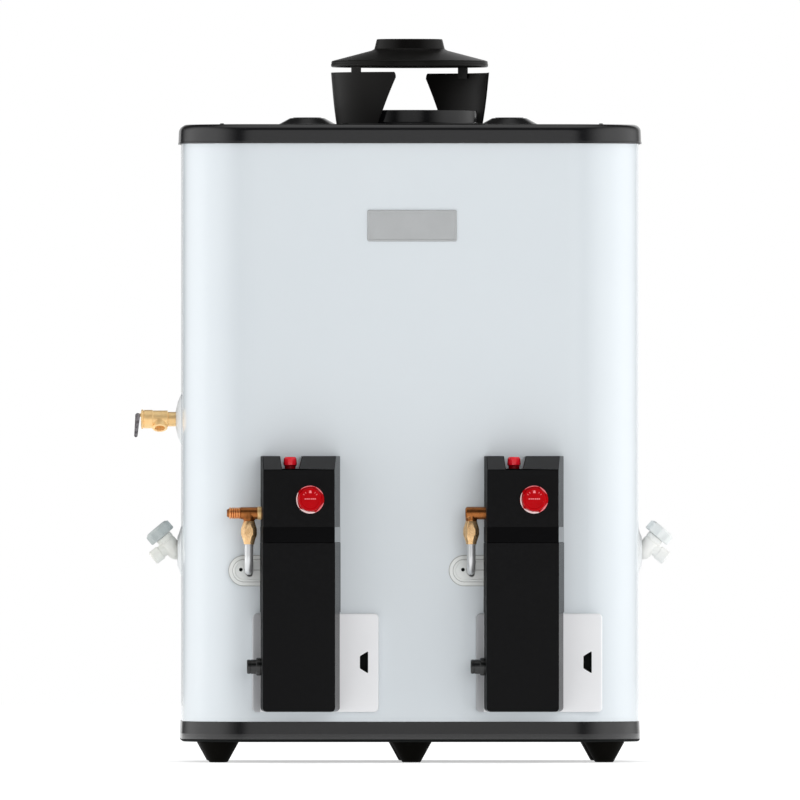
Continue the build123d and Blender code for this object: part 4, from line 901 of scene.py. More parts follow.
hood = {"sheet": 2.0, "legFoot": 110.0, "legTop": 116.5, "legTopLevel": 1020.5, "legWide": 78.4,
        "legNarrow": 50.5, "legWideLevel": 1012.5, "tabHalf": 9.25, "tabRadius": 113.5, "capRim": 116.4,
        "capShoulder": 53.7, "capShoulderLevel": 1053.1, "collar": 48.6, "collarLevel": 1057.0,
        "collarFoot": 52.2, "ringInner": 98.0, "ringFlange": 119.0, "screwRing": 113.5, "screws": 6,
        "screwTurn": 0.5}
hoodLegs = {
    "left": {"middle": 216.0, "flare": 0.0, "last": 0.0, "tab": 225.0},
    "right": {"middle": 36.0, "flare": 1.5, "last": -0.022, "tab": 45.0},
}


def sheetPatch(bm, levels, columns, shape, thickness):
    # A curved sheet, closed all round; shape gives (radius, first angle, last angle) at a level.
    outer, inner = [], []
    for level in levels:
        radius, first, last = shape(level)
        line, back = [], []
        for column in range(columns + 1):
            angle = first + (last - first) * column / columns
            line.append(bm.verts.new((radius * math.cos(angle), radius * math.sin(angle), level)))
            thin = radius - thickness
            back.append(bm.verts.new((thin * math.cos(angle), thin * math.sin(angle), level)))
        outer.append(line)
        inner.append(back)
    for side in (outer, inner):
        for lower, upper in zip(side, side[1:]):
            for index in range(columns):
                bm.faces.new((lower[index], lower[index + 1], upper[index + 1], upper[index]))
    for line, back in ((outer[0], inner[0]), (outer[-1], inner[-1])):
        for index in range(columns):
            bm.faces.new((line[index], line[index + 1], back[index + 1], back[index]))
    for lower in range(len(outer) - 1):
        for column in (0, columns):
            bm.faces.new((outer[lower][column], outer[lower + 1][column], inner[lower + 1][column],
                          inner[lower][column]))


def makeHoodRing():
    low, high = boxOf("hood_ring")
    inner, flange, band = hood["ringInner"], hood["ringFlange"], hood["ringInner"] + hood["sheet"]
    profile = softCorners([(inner, low.z), (flange, low.z), (flange, low.z + 1.5, 0.6),
                           (band + 1.2, low.z + 1.5, 1.6), (band, low.z + 4, 2), (band, high.z, 0.9),
                           (inner, high.z, 0.9)], True, 4)
    ring = built("hood_ring_band", "pan_black", turned, profile, Matrix(), 120, True)
    seat(smoothOff(ring), "root", "hood_black", "hood_ring")
    head = makeScrewHead(*screwHeads["ring"], (0, 0, 1))
    screws = repeated("hood_ring_screws", ringTree, head, "bevel_black",
                      Matrix.Translation((0, 0, low.z + 1.3)) @ Matrix.Rotation(hood["screwTurn"], 4, "Z"),
                      count=hood["screws"], radius=hood["screwRing"])
    seat(screws, "root", "sheet_steel")


def makeHoodLeg(name, facts):
    # A curved sheet that widens upwards, with a tab folded up to carry the cap.
    low, high = boxOf("hood_leg_" + name)
    middle = math.radians(facts["middle"])
    wide = hood["legWideLevel"]

    def outline(level):
        rise = min((level - low.z) / (hood["legTopLevel"] - low.z), 1)
        radius = hood["legFoot"] + (hood["legTop"] + facts["flare"] - hood["legFoot"]) * rise
        spread = min((level - low.z) / (wide - low.z), 1)
        corner = max(level - wide, 0.0) / (hood["legTopLevel"] - wide)
        half = hood["legNarrow"] + (hood["legWide"] - hood["legNarrow"]) * spread - 1.3 * corner ** 4
        reach = math.asin(half / radius)
        return radius, middle - reach, middle + reach + facts["last"]

    levels = [low.z + (wide - low.z) * step / 8 for step in range(9)]
    levels += [wide + (hood["legTopLevel"] - wide) * step / 5 for step in range(1, 6)]
    leg = built("hood_leg_sheet_" + name, "hood_black", sheetPatch, levels, 40, outline, hood["sheet"])
    tab = math.radians(facts["tab"])
    reach = math.asin(hood["tabHalf"] / hood["tabRadius"])

    def tabShape(level):
        lean = min(max(level - wide, 0.0) / 6.0, 1.0)
        radius = hood["legTop"] - 1.0 + (hood["tabRadius"] + 2 - hood["legTop"] + 1.0) * lean
        return radius, tab - reach, tab + reach

    tabLevels = [wide + (high.z - wide) * step / 8 for step in range(9)]
    carve(leg, built("hoodTab", "hood_black", sheetPatch, tabLevels, 8, tabShape, hood["sheet"]), "UNION")
    seat(smoothOff(leg, 0.6, 2), "root", "hood_black", "hood_leg_" + name)


def makeHoodCap():
    low, high = boxOf("hood_cap")
    rim, sheet = hood["capRim"], hood["sheet"]
    shoulder, shoulderZ = hood["capShoulder"], hood["capShoulderLevel"]
    collar, collarZ = hood["collar"], hood["collarLevel"]
    rimTop = low.z + 9.0
    foot = hood["collarFoot"]
    profile = softCorners([(rim - 1.2, low.z, 0.8), (rim, low.z + 1.6, 1.2), (rim, low.z + 4.6, 0.4),
                           (rim - 0.5, low.z + 5.0, 0.2), (rim - 0.5, rimTop, 2.6),
                           (shoulder + 3.0, shoulderZ, 3), (foot, collarZ - 1.6, 3), (collar, high.z, 1.8),
                           (collar - sheet, high.z, 0.5), (collar - sheet, collarZ - 1, 4),
                           (shoulder, shoulderZ - sheet, 3), (rim - sheet, rimTop - sheet, 2),
                           (rim - sheet - 1, low.z, 0.5)], True, 5)
    cap = built("hood_cap_cone", "hood_black", turned, profile, Matrix(), 120, True)
    seat(smoothOff(cap), "root", "hood_black", "hood_cap")


makeHoodRing()
for legName, legFacts in hoodLegs.items():
    makeHoodLeg(legName, legFacts)
makeHoodCap()

print("stage: nameplate")

nameplate = {"corner": 3.0, "rim": 2.4, "step": 0.9, "edge": 0.9}


def makeNameplate():
    low, high = boxOf("nameplate")
    width, height = high.x - low.x, high.z - low.z
    centre = (low + high) / 2
    rim, step = nameplate["rim"], nameplate["step"]
    section = [(0, -high.y), (0, -low.y - nameplate["edge"]), (nameplate["edge"], -low.y), (rim, -low.y),
               (rim + step, -low.y - step)]
    loops = []
    for inset, level in section:
        corner = max(nameplate["corner"] - inset, 0.6)
        flat = rectLoop(width - 2 * inset, height - 2 * inset, corner, 0, 6, (centre.x, centre.z))
        loops.append([upright @ Vector((p.x, p.y, level)) for p in flat])
    plate = built("nameplate_blank", "plate_silver", skin, loops, True, True)
    seat(smoothOff(plate), "root", "plate_silver", "nameplate")


makeNameplate()

print("stage: control and tube covers")

controlCover = {
    "leftInset": 2.6, "rightInset": 9.8, "bevelDrop": 20.1, "bevelRun": 22.0, "wall": 2.2, "edge": 1.3,
    "notchTop": (-30.8, 1.2), "notchFoot": (-28.6, -4.1), "notchLevel": 433.6,
    "bandRise": 22.8, "bandProud": 0.45,
}
tubeCover = {"leftInset": 2.6, "rightInset": 9.8, "corner": 6.0, "wall": 2.0, "edge": 1.3, "doorGap": 192.8,
             "doorTop": 221.8, "igniterRadius": 13.7}


def coverLoop(left, right, low, high, y, corner=0.0):
    # Outline seen from the front, anticlockwise from the lower left, with round lower corners.
    points = softCorners([(left, low, corner), (right, low, corner), (right, high), (left, high)], True, 6)
    return [Vector((p.x, y, p.y)) for p in points]


def coverSolid(bm, x, low, high, inset, facts, back, corner=0.0, bevel=True, floorCut=0.0, topCut=0.0):
    # The cover's outside form grown or shrunk by an inset; the sides close in towards the front.
    half = (high.x - low.x) / 2 - inset
    front = low.y + inset
    depth = high.y - low.y
    lowZ, highZ = low.z + floorCut, high.z - topCut
    stations = [back, front]
    if bevel:
        stations.insert(1, low.y + facts["bevelRun"] + inset * 0.4)
    loops = []
    for y in stations:
        share = (high.y - y) / depth
        left = x - half + facts["leftInset"] * share
        right = x + half - facts["rightInset"] * share
        top = highZ
        if bevel and y == front:
            top = highZ - facts["bevelDrop"] + inset * 0.55
        loops.append(coverLoop(left, right, lowZ, top, y, max(corner - inset, 0.3) if corner else 0.0))
    skin(bm, loops, True, True)


def makeControlCover(name):
    low, high = boxOf("control_cover_" + name)
    x = unitCentres[name]
    facts = controlCover
    cover = built("control_cover_shell_" + name, "control_black", coverSolid, x, low, high, 0.0, facts,
                  high.y)
    carve(cover, built("controlInside", None, coverSolid, x, low, high, facts["wall"], facts, high.y + 5,
                       floorCut=facts["wall"], topCut=facts["wall"]))
    (topLeft, topRight), (footLeft, footRight) = facts["notchTop"], facts["notchFoot"]
    foot = facts["notchLevel"]
    slope = (high.z + 6 - foot) / (high.z - foot)
    outline = [(x + footLeft, foot), (x + footRight, foot), (x + footRight + (topRight - footRight) * slope,
                                                             high.z + 6),
               (x + footLeft + (topLeft - footLeft) * slope, high.z + 6)]
    carve(cover, built("notch", None, prism, outline, -high.y - 5, -low.y + 5, upright))
    smoothOff(cover, facts["edge"], 3)
    # Painted light: sides facing right and left take their own lit and shaded copies of the black.
    paintFaces(cover, "side_black", (1, 0, 0))
    paintFaces(cover, "side_matt", (-1, 0, 0))
    # Painted light: the bevel facing up and forward takes the lighter black.
    paintFaces(cover, "bevel_black", (0, -0.675, 0.738), 0.97)
    seat(cover, "root", "control_black", "control_cover_" + name)
    # The glossy band across the foot of the cover.
    bandHigh = Vector((high.x, high.y, low.z + facts["bandRise"]))
    band = built("control_band_" + name, "gloss_black", coverSolid, x, low, bandHigh, -facts["bandProud"],
                 facts, high.y, bevel=False, floorCut=0.25)
    carve(band, built("bandInside", None, coverSolid, x, low, bandHigh, 1.4, facts, high.y + 5, bevel=False,
                      floorCut=-5, topCut=-5))
    smoothOff(band, 0.3, 2)
    # Painted light: the band's sides facing right and left take their own lit and shaded copies of the black.
    paintFaces(band, "side_bright", (1, 0, 0))
    paintFaces(band, "side_matt", (-1, 0, 0))
    seat(band, "root", "control_black")


def makeTubeCover(name):
    low, high = boxOf("tube_cover_" + name)
    x = unitCentres[name]
    facts = tubeCover
    cover = built("tube_cover_shell_" + name, "control_black", coverSolid, x, low, high, 0.0, facts, high.y,
                  facts["corner"], False)
    carve(cover, built("tubeInside", None, coverSolid, x, low, high, facts["wall"], facts, high.y + 5,
                       facts["corner"], False, floorCut=facts["wall"], topCut=facts["wall"]))
    bm = bmesh.new()
    blockMesh(bm, (low.x - 5, -facts["doorGap"], low.z - 5), (high.x + 5, high.y + 5, facts["doorTop"]))
    housing = middleOf("igniter_housing_" + name)
    place = placeAt((low.x - 5, housing.y, housing.z), (1, 0, 0))
    turned(bm, disc(facts["igniterRadius"], 0, 20), place, 40)
    carve(cover, asObject("tubeCuts", bm))
    smoothOff(cover, facts["edge"], 3)
    # Painted light: sides facing right and left take their own lit and shaded copies of the black.
    paintFaces(cover, "side_black", (1, 0, 0))
    paintFaces(cover, "side_matt", (-1, 0, 0))
    seat(cover, "root", "control_black", "tube_cover_" + name)


for unitName in hands:
    makeControlCover(unitName)
    makeTubeCover(unitName)

print("stage: dials, buttons and doors")

dial = {"band": 4.0, "rim": 20.7, "shoulder": 17.6, "face": 16.2, "scallops": 24, "scallopDeep": 0.35,
        "gripEnd": 2.5, "gripFade": 4.0, "recess": 0.7, "arcInset": 0.15, "arcLow": 0.2, "arcHigh": 0.75,
        "arcSteps": 32, "markSink": 0.3, "markRise": 0.15, "pointerRise": 0.2,
        "tickAngles": (-52, -34, 34, 52), "barStarts": (-8.4, -5.6, -2.8, 0.6, 3.4, 6.2)}
# Each arc of painted rim highlight: first and last angle, its width at the start, middle and end, and its
# finish.
dialRimHighlights = (
    (222, 292, 0.8, 3.4, 0.9, "mark_white"), (296, 346, 0.5, 2.2, 0.6, "mark_pink"),
    (24, 66, 0.5, 1.9, 0.7, "mark_pink"), (70, 132, 0.5, 1.3, 0.4, "mark_pink"),
    (150, 218, 0.6, 1.8, 0.6, "mark_white"))


def makeDial(name):
    low, high = boxOf("temperature_dial_" + name)
    centre = (low + high) / 2
    height = high.y - low.y
    place = placeAt((centre.x, high.y, centre.z), (0, -1, 0))
    facts = dial

    def grips(radius, angle, level):
        if radius < facts["face"] or level > height - facts["gripEnd"]:
            return radius
        fade = min(1.0, (height - facts["gripEnd"] - level) / facts["gripFade"])
        dip = max(0.0, math.cos(angle * facts["scallops"])) ** 2
        return radius - facts["scallopDeep"] * dip * fade

    profile = softCorners([(0, 0), (facts["rim"], 0), (facts["rim"], facts["band"], 0.6),
                           (facts["shoulder"] + 0.6, facts["band"] + 0.5, 0.6),
                           (facts["face"] + 0.6, height - 0.6, 1.6), (facts["face"] - 2.2, height, 0.5),
                           (facts["face"] - 3.0, height - facts["recess"], 0.4),
                           (0, height - facts["recess"])], False, 5)
    knob = built("dial_knob_" + name, "dial_red", turned, profile, place, 144, wave=grips)
    smoothOff(knob)
    body = "temperature_dial_" + name
    seat(knob, body, "dial_red", "temperature_dial_" + name)
    return place, height, body


def makeDialHighlightsAndMarks(name, place, height, body):
    # Pale arcs round the flange as painted highlight where the rim catches the light, one wide white arc and
    # thin pink ones elsewhere; a pointer and plain generic marks on the face.
    facts = dial
    outer = facts["rim"] - facts["arcInset"]
    face = height - facts["recess"]
    lowest, highest = facts["arcLow"], facts["arcHigh"]
    sunk, risen = face - facts["markSink"], face + facts["markRise"]
    for index, (first, last, startWide, midWide, endWide, finish) in enumerate(dialRimHighlights):
        rows = []
        for step in range(facts["arcSteps"] + 1):
            share = step / facts["arcSteps"]
            angle = math.radians(first + (last - first) * share)
            edgeWide = startWide + (endWide - startWide) * share
            wide = edgeWide + (midWide - edgeWide) * math.sin(math.pi * share)
            across = Vector((math.cos(angle), math.sin(angle), 0))
            row = []
            inside = outer - wide
            for radius, level in ((inside, lowest), (outer, lowest), (outer, highest), (inside, highest)):
                row.append(place @ (across * radius + Vector((0, 0, facts["band"] + level))))
            rows.append(row)
        arc = built("dial_arc_%d_%s" % (index, name), finish, skin, rows, True, True)
        seat(smoothOff(arc), body, "plate_white")
    bm = bmesh.new()
    prism(bm, [(-2.0, 9.6), (2.0, 9.6), (1.2, 14.0), (-1.2, 14.0)], sunk, face + facts["pointerRise"], place)
    for angle in facts["tickAngles"]:
        turn = Matrix.Rotation(math.radians(angle), 4, "Z")
        prism(bm, [(-0.35, 11.0), (0.35, 11.0), (0.35, 13.6), (-0.35, 13.6)], sunk, risen, place @ turn)
    for start in facts["barStarts"]:
        prism(bm, [(start, 0.2), (start + 2.0, 0.2), (start + 2.0, 1.8), (start, 1.8)], sunk, risen, place)
    marks = asObject("dial_marks_" + name, bm, "mark_pink")
    seat(smoothOff(marks), body, "plate_white")


pilotButton = {"flats": 10, "gripFrom": 3.0, "paintedShadeUnder": 15.0, "sharpAbove": 24.0}


def makePilotButton(name):
    low, high = boxOf("pilot_button_" + name)
    centre = (low + high) / 2
    radius = (high.x - low.x) / 2

    def facets(reach, angle, level):
        # Flats round the grip, and a round stem under it.
        turn = math.tau / pilotButton["flats"]
        across = math.cos(turn / 2) / math.cos((angle % turn) - turn / 2)
        return reach * (across if level > pilotButton["gripFrom"] else 1.0)

    height = high.z - low.z
    profile = softCorners([(0, 0), (radius * 0.80, 0, 0.6), (radius * 0.80, 13.6, 0.8),
                           (radius * 0.97, 15.8, 1.0), (radius * 0.99, 18.0, 1.5),
                           (radius * 0.92, height - 2.4, 1.6), (radius * 0.76, height, 0.9),
                           (radius * 0.6, height - 0.5, 0.6), (0, height - 0.9)], False, 4)
    button = built("pilot_button_grip_" + name, "button_red", turned, profile,
                   Matrix.Translation((centre.x, centre.y, low.z)), 80, wave=facets)
    smoothOff(button, angle=math.radians(pilotButton["sharpAbove"]))
    # Painted shade: faces low on the stem take the dark red copy, where the cover shades the button's foot.
    button.data.materials.append(finishes["button_shade"])
    for face in button.data.polygons:
        if face.center.z < (low.z + pilotButton["paintedShadeUnder"]) * millimetre:
            face.material_index = 1
    seat(button, "pilot_button_" + name, "button_red", "pilot_button_" + name)


door = {"corner": 6.5, "edge": 2.0, "slotDeep": 12.2, "slotLong": 33.0, "slotTaper": 0.55, "slotRise": 0.8,
        "slotEnd": 99.8, "cupGrow": 1.01, "sheet": 1.2, "lip": 5.0, "notch": 8.2, "notchDeep": 3.6,
        "paintedShadeEnd": -59.6}


def paintedShadeEnd(obj, x, finish):
    # Painted shade: a darker finish on the end left of x, as the photograph shows it beside the tube cover,
    # where the cover shades it.
    bm = bmesh.new()
    bm.from_mesh(obj.data)
    parts = bm.verts[:] + bm.edges[:] + bm.faces[:]
    bmesh.ops.bisect_plane(bm, geom=parts, plane_co=(x * millimetre, 0, 0), plane_no=(1, 0, 0), dist=1e-7)
    obj.data.materials.append(finishes[finish])
    for face in bm.faces:
        if face.calc_center_median().x < x * millimetre:
            face.material_index = len(obj.data.materials) - 1
    bm.to_mesh(obj.data)
    bm.free()


def makeAccessDoor(name):
    low, high = boxOf("access_door_" + name)
    x = unitCentres[name]
    centre = (low + high) / 2
    width, height = high.x - low.x, high.z - low.z
    edge = door["edge"]
    section = softCorners([(0, -high.y), (0, -low.y, edge), (edge * 2.4, -low.y)], False, 5)
    loops = []
    for point in section:
        corner = max(door["corner"] - point.x, 1.0)
        flat = rectLoop(width - 2 * point.x, height - 2 * point.x, corner, 0, 8, (centre.x, centre.z))
        loops.append([upright @ Vector((p.x, p.y, point.y)) for p in flat])
    panel = built("access_door_panel_" + name, "door_white", skin, loops, True, True)
    middle, long, end = centre.z + door["slotRise"], door["slotLong"], x + door["slotEnd"]
    short, deep = long * door["slotTaper"], door["slotDeep"]
    slot = softCorners([(end, middle - long / 2, 1.0), (end, middle + long / 2, 1.0),
                        (end - deep, middle + short / 2, 1.6), (end - deep, middle - short / 2, 1.6)], True,
                       4)
    carve(panel, built("slotCut", None, prism, slot, -high.y - 5, -low.y + 5, upright))
    sheet, lip = door["sheet"], door["lip"]
    lipFront = high.y - sheet
    hollow = ((low.x + sheet, low.y + sheet, low.z + sheet), (high.x - sheet, lipFront, high.z - sheet))
    mouth = ((low.x + sheet, lipFront - 1, low.z + sheet + lip), (high.x - sheet, high.y + 5,
                                                                  high.z - sheet - lip))
    for corners in (hollow, mouth):
        carve(panel, built("doorHollow", None, blockMesh, *corners))
    bm = bmesh.new()
    notch = door["notch"]
    for base in (low.z + sheet, high.z - sheet - notch):
        blockMesh(bm, (low.x - 1, high.y - door["notchDeep"], base), (low.x + sheet + 5, high.y + 5,
                                                                      base + notch))
    carve(panel, asObject("railNotches", bm))
    smoothOff(panel, 0.4, 2)
    paintedShadeEnd(panel, x + door["paintedShadeEnd"], "door_shade")
    seat(panel, "access_door_" + name, "door_white", "access_door_" + name)
    # The dark cup behind the finger slot.
    # Painted shade: a black cup behind the finger slot stands in for the shade inside it.
    heart = sum(slot, Vector((0, 0))) / len(slot)
    cup = built("door_slot_cup_" + name, "pocket_black", skin,
                [[upright @ Vector((*(heart + (p - heart) * door["cupGrow"]),
                                    level)) for p in slot] for level in (-low.y - 1.2, -high.y)], False, True)
    seat(smoothOff(cup), "access_door_" + name, "control_black")


for unitName in hands:
    makeDialHighlightsAndMarks(unitName, *makeDial(unitName))
    makePilotButton(unitName)
    makeAccessDoor(unitName)

print("stage: gas line and port plates")

gasLine = {"y": -222.0, "level": 368.4, "teeRight": -213.0, "branch": -238.5, "flare": 7.94,
           "body": 8.5, "bandRadius": 9.7, "nutTop": 356.7, "nutFlats": 334.0, "nutFoot": 322.5,
           "nutApothem": 10.2, "threadStep": 3.3, "threadCrest": 8.7, "threads": 5, "elbowX": 91.5,
           "shift": {"left": -3.0, "right": -5.2}, "teeLonger": 4.7, "elbowRun": 9.4, "elbowRound": 3.6,
           "tube": 6.35, "tubeTop": 350.0, "tubeRise": 50.0, "nutBore": 6.5, "nutBoreTop": 350.2,
           "collarBack": 15.9, "threadStart": 4.9, "tubeBends": (22.0, 15.0, 15.0, 15.0, 15.0, 22.0)}


def makeTee():
    facts = gasLine
    low, high = boxOf("gas_tee")
    start = low.x - facts["teeLonger"]
    branch = facts["branch"] + facts["shift"]["left"]
    along = placeAt((start, facts["y"], facts["level"]), (1, 0, 0))
    length = high.x - start
    core = facts["flare"] - 0.7
    run = softCorners([(0, 0), (5.2, 0), (facts["flare"] - 1.6, 2.4, 0.5), (core, 3.4), (core, 19.4),
                       (facts["body"] + 0.4, 20.0, 0.5), (facts["body"] + 0.4, length - 6.4, 0.5),
                       (facts["bandRadius"], length - 5.6, 0.6), (facts["bandRadius"], length - 1, 0.6),
                       (facts["body"], length), (0, length)], False, 4)
    tee = built("gas_tee_body", "brass", turned, run, along, 56)
    collar = softCorners([(facts["body"], 0), (facts["bandRadius"], 0, 0.8), (facts["bandRadius"], 6.0, 0.8),
                          (facts["body"], 6.0)], True, 3)
    ring = built("gas_tee_collar", "brass_pale", turned, collar,
                 placeAt((facts["teeRight"] - facts["collarBack"], facts["y"], facts["level"]), (1, 0, 0)),
                 56, True)
    seat(smoothOff(ring), "root", "brass")
    down = placeAt((branch, facts["y"], facts["level"]), (0, 0, -1))
    reach = facts["level"] - low.z
    stem = softCorners([(0, 0), (facts["bandRadius"] - 0.3, 0), (facts["bandRadius"] - 0.3, reach - 2, 1.2),
                        (facts["flare"], reach - 0.6), (facts["flare"], reach), (0, reach)], False, 4)
    carve(tee, built("teeStem", "brass", turned, stem, down, 56), "UNION")
    seat(smoothOff(tee, 0.25, 2), "root", "brass", "gas_tee")
    crest = facts["threadCrest"]
    ridge = softCorners([(core - 0.2, -1.35), (crest, -0.7, 0.3), (crest, 0.7, 0.3), (core - 0.2, 1.35)],
                        True, 3)
    thread = built("threadRidge", None, turned, ridge, Matrix(), 40, True)
    turnedPlace = placeAt((start + facts["threadStart"], facts["y"], facts["level"]), (1, 0, 0))
    rings = repeated("gas_tee_thread", rowTree, thread, "brass_orange", turnedPlace, count=facts["threads"],
                     step=facts["threadStep"])
    seat(rings, "root", "brass")


def gasColumns():
    # Where the two upright lengths of the gas tube stand.
    return (gasLine["branch"] + gasLine["shift"]["left"], gasLine["elbowX"] + gasLine["shift"]["right"])


def makeGasTube():
    facts = gasLine
    low, high = boxOf("gas_bridge_tube")
    left, right = gasColumns()
    radius = facts["tube"]
    inner, bottom = high.y - radius, low.z + radius
    level = bottom + facts["tubeRise"]
    corners = [Vector(p) for p in ((left, facts["y"], facts["tubeTop"]), (left, facts["y"], level),
                                   (left, inner, level), (left, inner, bottom), (right, inner, bottom),
                                   (right, inner, level), (right, facts["y"], level),
                                   (right, facts["y"], facts["tubeTop"]))]
    path = [corners[0]]
    for index, bend in enumerate(facts["tubeBends"], 1):
        back = (corners[index - 1] - corners[index]).normalized()
        ahead = (corners[index + 1] - corners[index]).normalized()
        for step in range(9):
            angle = math.radians(90) * step / 8
            behind, beyond = bend * (1 - math.sin(angle)), bend * (1 - math.cos(angle))
            path.append(corners[index] + back * behind + ahead * beyond)
    path.append(corners[-1])
    tube = built("gas_tube_run", "tube_aluminium", swept, path, [radius] * len(path), 40)
    seat(smoothOff(tube), "root", "tube_aluminium", "gas_bridge_tube")


def makeFlareNuts():
    facts = gasLine
    low, high = boxOf("flare_nuts")
    parts = None
    for x in gasColumns():
        place = Matrix.Translation((x, facts["y"], 0))
        reach = facts["nutApothem"] / math.cos(math.radians(30))
        hexagon = [(reach * math.cos(math.radians(60 * i)),
                    reach * math.sin(math.radians(60 * i))) for i in range(6)]
        nut = built("flare_nut_part", "brass_gold", prism, hexagon, low.z - 1, high.z + 1, place)
        profile = softCorners([(0, facts["nutFoot"]), (7.6, facts["nutFoot"], 0.6),
                               (8.0, facts["nutFoot"] + 3, 1.5), (reach + 0.1, facts["nutFlats"] + 3.5, 3),
                               (reach + 0.1, facts["nutTop"] - 12.5, 3), (8.3, facts["nutTop"], 0.3),
                               (0, facts["nutTop"])], False, 5)
        carve(nut, built("nutTurning", "brass_gold", turned, profile, place, 72), "INTERSECT")
        bore = facts["nutBore"]
        carve(nut, built("nutBore", None, turned, disc(bore, low.z - 2, facts["nutBoreTop"]), place, 40))
        if parts is None:
            parts = nut
        else:
            carve(parts, nut, "UNION")
    parts.name = "flare_nuts_hex"
    seat(smoothOff(parts, 0.3, 2, math.radians(26)), "root", "brass", "flare_nuts")


def makeElbow():
    facts = gasLine
    low, high = boxOf("gas_elbow")
    column = gasColumns()[1]
    run, bend = facts["elbowRun"], facts["elbowRound"]
    start = column - facts["body"] - 0.3
    length = high.x - start
    along = softCorners([(0, 0), (run, 0, bend), (run, length - 6.4, 0.4), (facts["body"], length - 5.8, 0.4),
                         (facts["body"], length - 4.8, 0.4), (run + 0.3, length - 4.2, 0.5),
                         (run + 0.3, length, 0.5), (0, length)], False, 5)
    elbow = built("gas_elbow_bend", "brass", turned, along, placeAt((start, facts["y"], facts["level"]),
                                                                    (1, 0, 0)), 56)
    top = facts["level"] + run - 2
    down = softCorners([(0, 0), (facts["body"], 0, bend), (facts["body"], top - low.z - 1.2, 0.4),
                        (facts["flare"], top - low.z), (0, top - low.z)], False, 5)
    carve(elbow, built("elbowStem", "brass", turned, down, placeAt((column, facts["y"], top), (0, 0, -1)),
                       56), "UNION")
    seat(smoothOff(elbow, 0.4, 2), "root", "brass", "gas_elbow")


igniter = {"longer": 2.4, "bore": 10.9, "barrel": 12.0, "collarLong": 6.4, "groove": 0.5}


def makeIgniter(name):
    low, high = boxOf("igniter_housing_" + name)
    centre = (low + high) / 2
    radius = (high.z - low.z) / 2
    facts = igniter
    profile = softCorners([(facts["bore"], 0.5), (facts["bore"] + 0.6, 0), (radius - 0.9, 0, 0.4),
                           (radius, 1.4, 0.6), (radius, facts["collarLong"], 0.3),
                           (facts["barrel"], facts["collarLong"] + 0.3), (facts["barrel"], high.x - low.x),
                           (facts["bore"], high.x - low.x)], True, 4)
    housing = built("igniter_housing_ring_" + name, "igniter_black", turned, profile,
                    placeAt((low.x, centre.y, centre.z), (1, 0, 0)), 64, True)
    seat(smoothOff(housing), "root", "igniter_black", "igniter_housing_" + name)
    low, high = boxOf("igniter_button_" + name)
    radius = (high.z - low.z) / 2
    groove = facts["groove"]
    profile = softCorners([(0, 1.0), (6.4, 1.0, 0.4), (7.2, 0.1, 0.4), (radius - 1.0, 0, 0.8),
                           (radius, 1.6, 0.8), (radius, 4.4, 0.1), (radius - groove, 4.7, 0.1),
                           (radius - groove, 5.5, 0.1), (radius, 5.8, 0.1), (radius, 15.0), (4.0, 15.0),
                           (4.0, high.x - low.x), (0, high.x - low.x)], False, 4)
    tip = low.x - facts["longer"]
    button = built("igniter_button_cap_" + name, "igniter_black", turned, profile,
                   placeAt((tip, centre.y, centre.z), (1, 0, 0)), 64)
    seat(smoothOff(button), "igniter_button_" + name, "igniter_black", "igniter_button_" + name)


portPlate = {"longer": {"left": 5.2, "right": 10.0}, "grooveShadeOut": 4.9, "grooveShadeIn": 6.5, "rimShadeOut": 1.0,
             "split": 0.55, "tubeHole": 6.75, "lineHole": 3.4, "shadedHoleShift": 11.3, "shadedHole": 2.7,
             "plug": 2.75, "gap": 4.6}


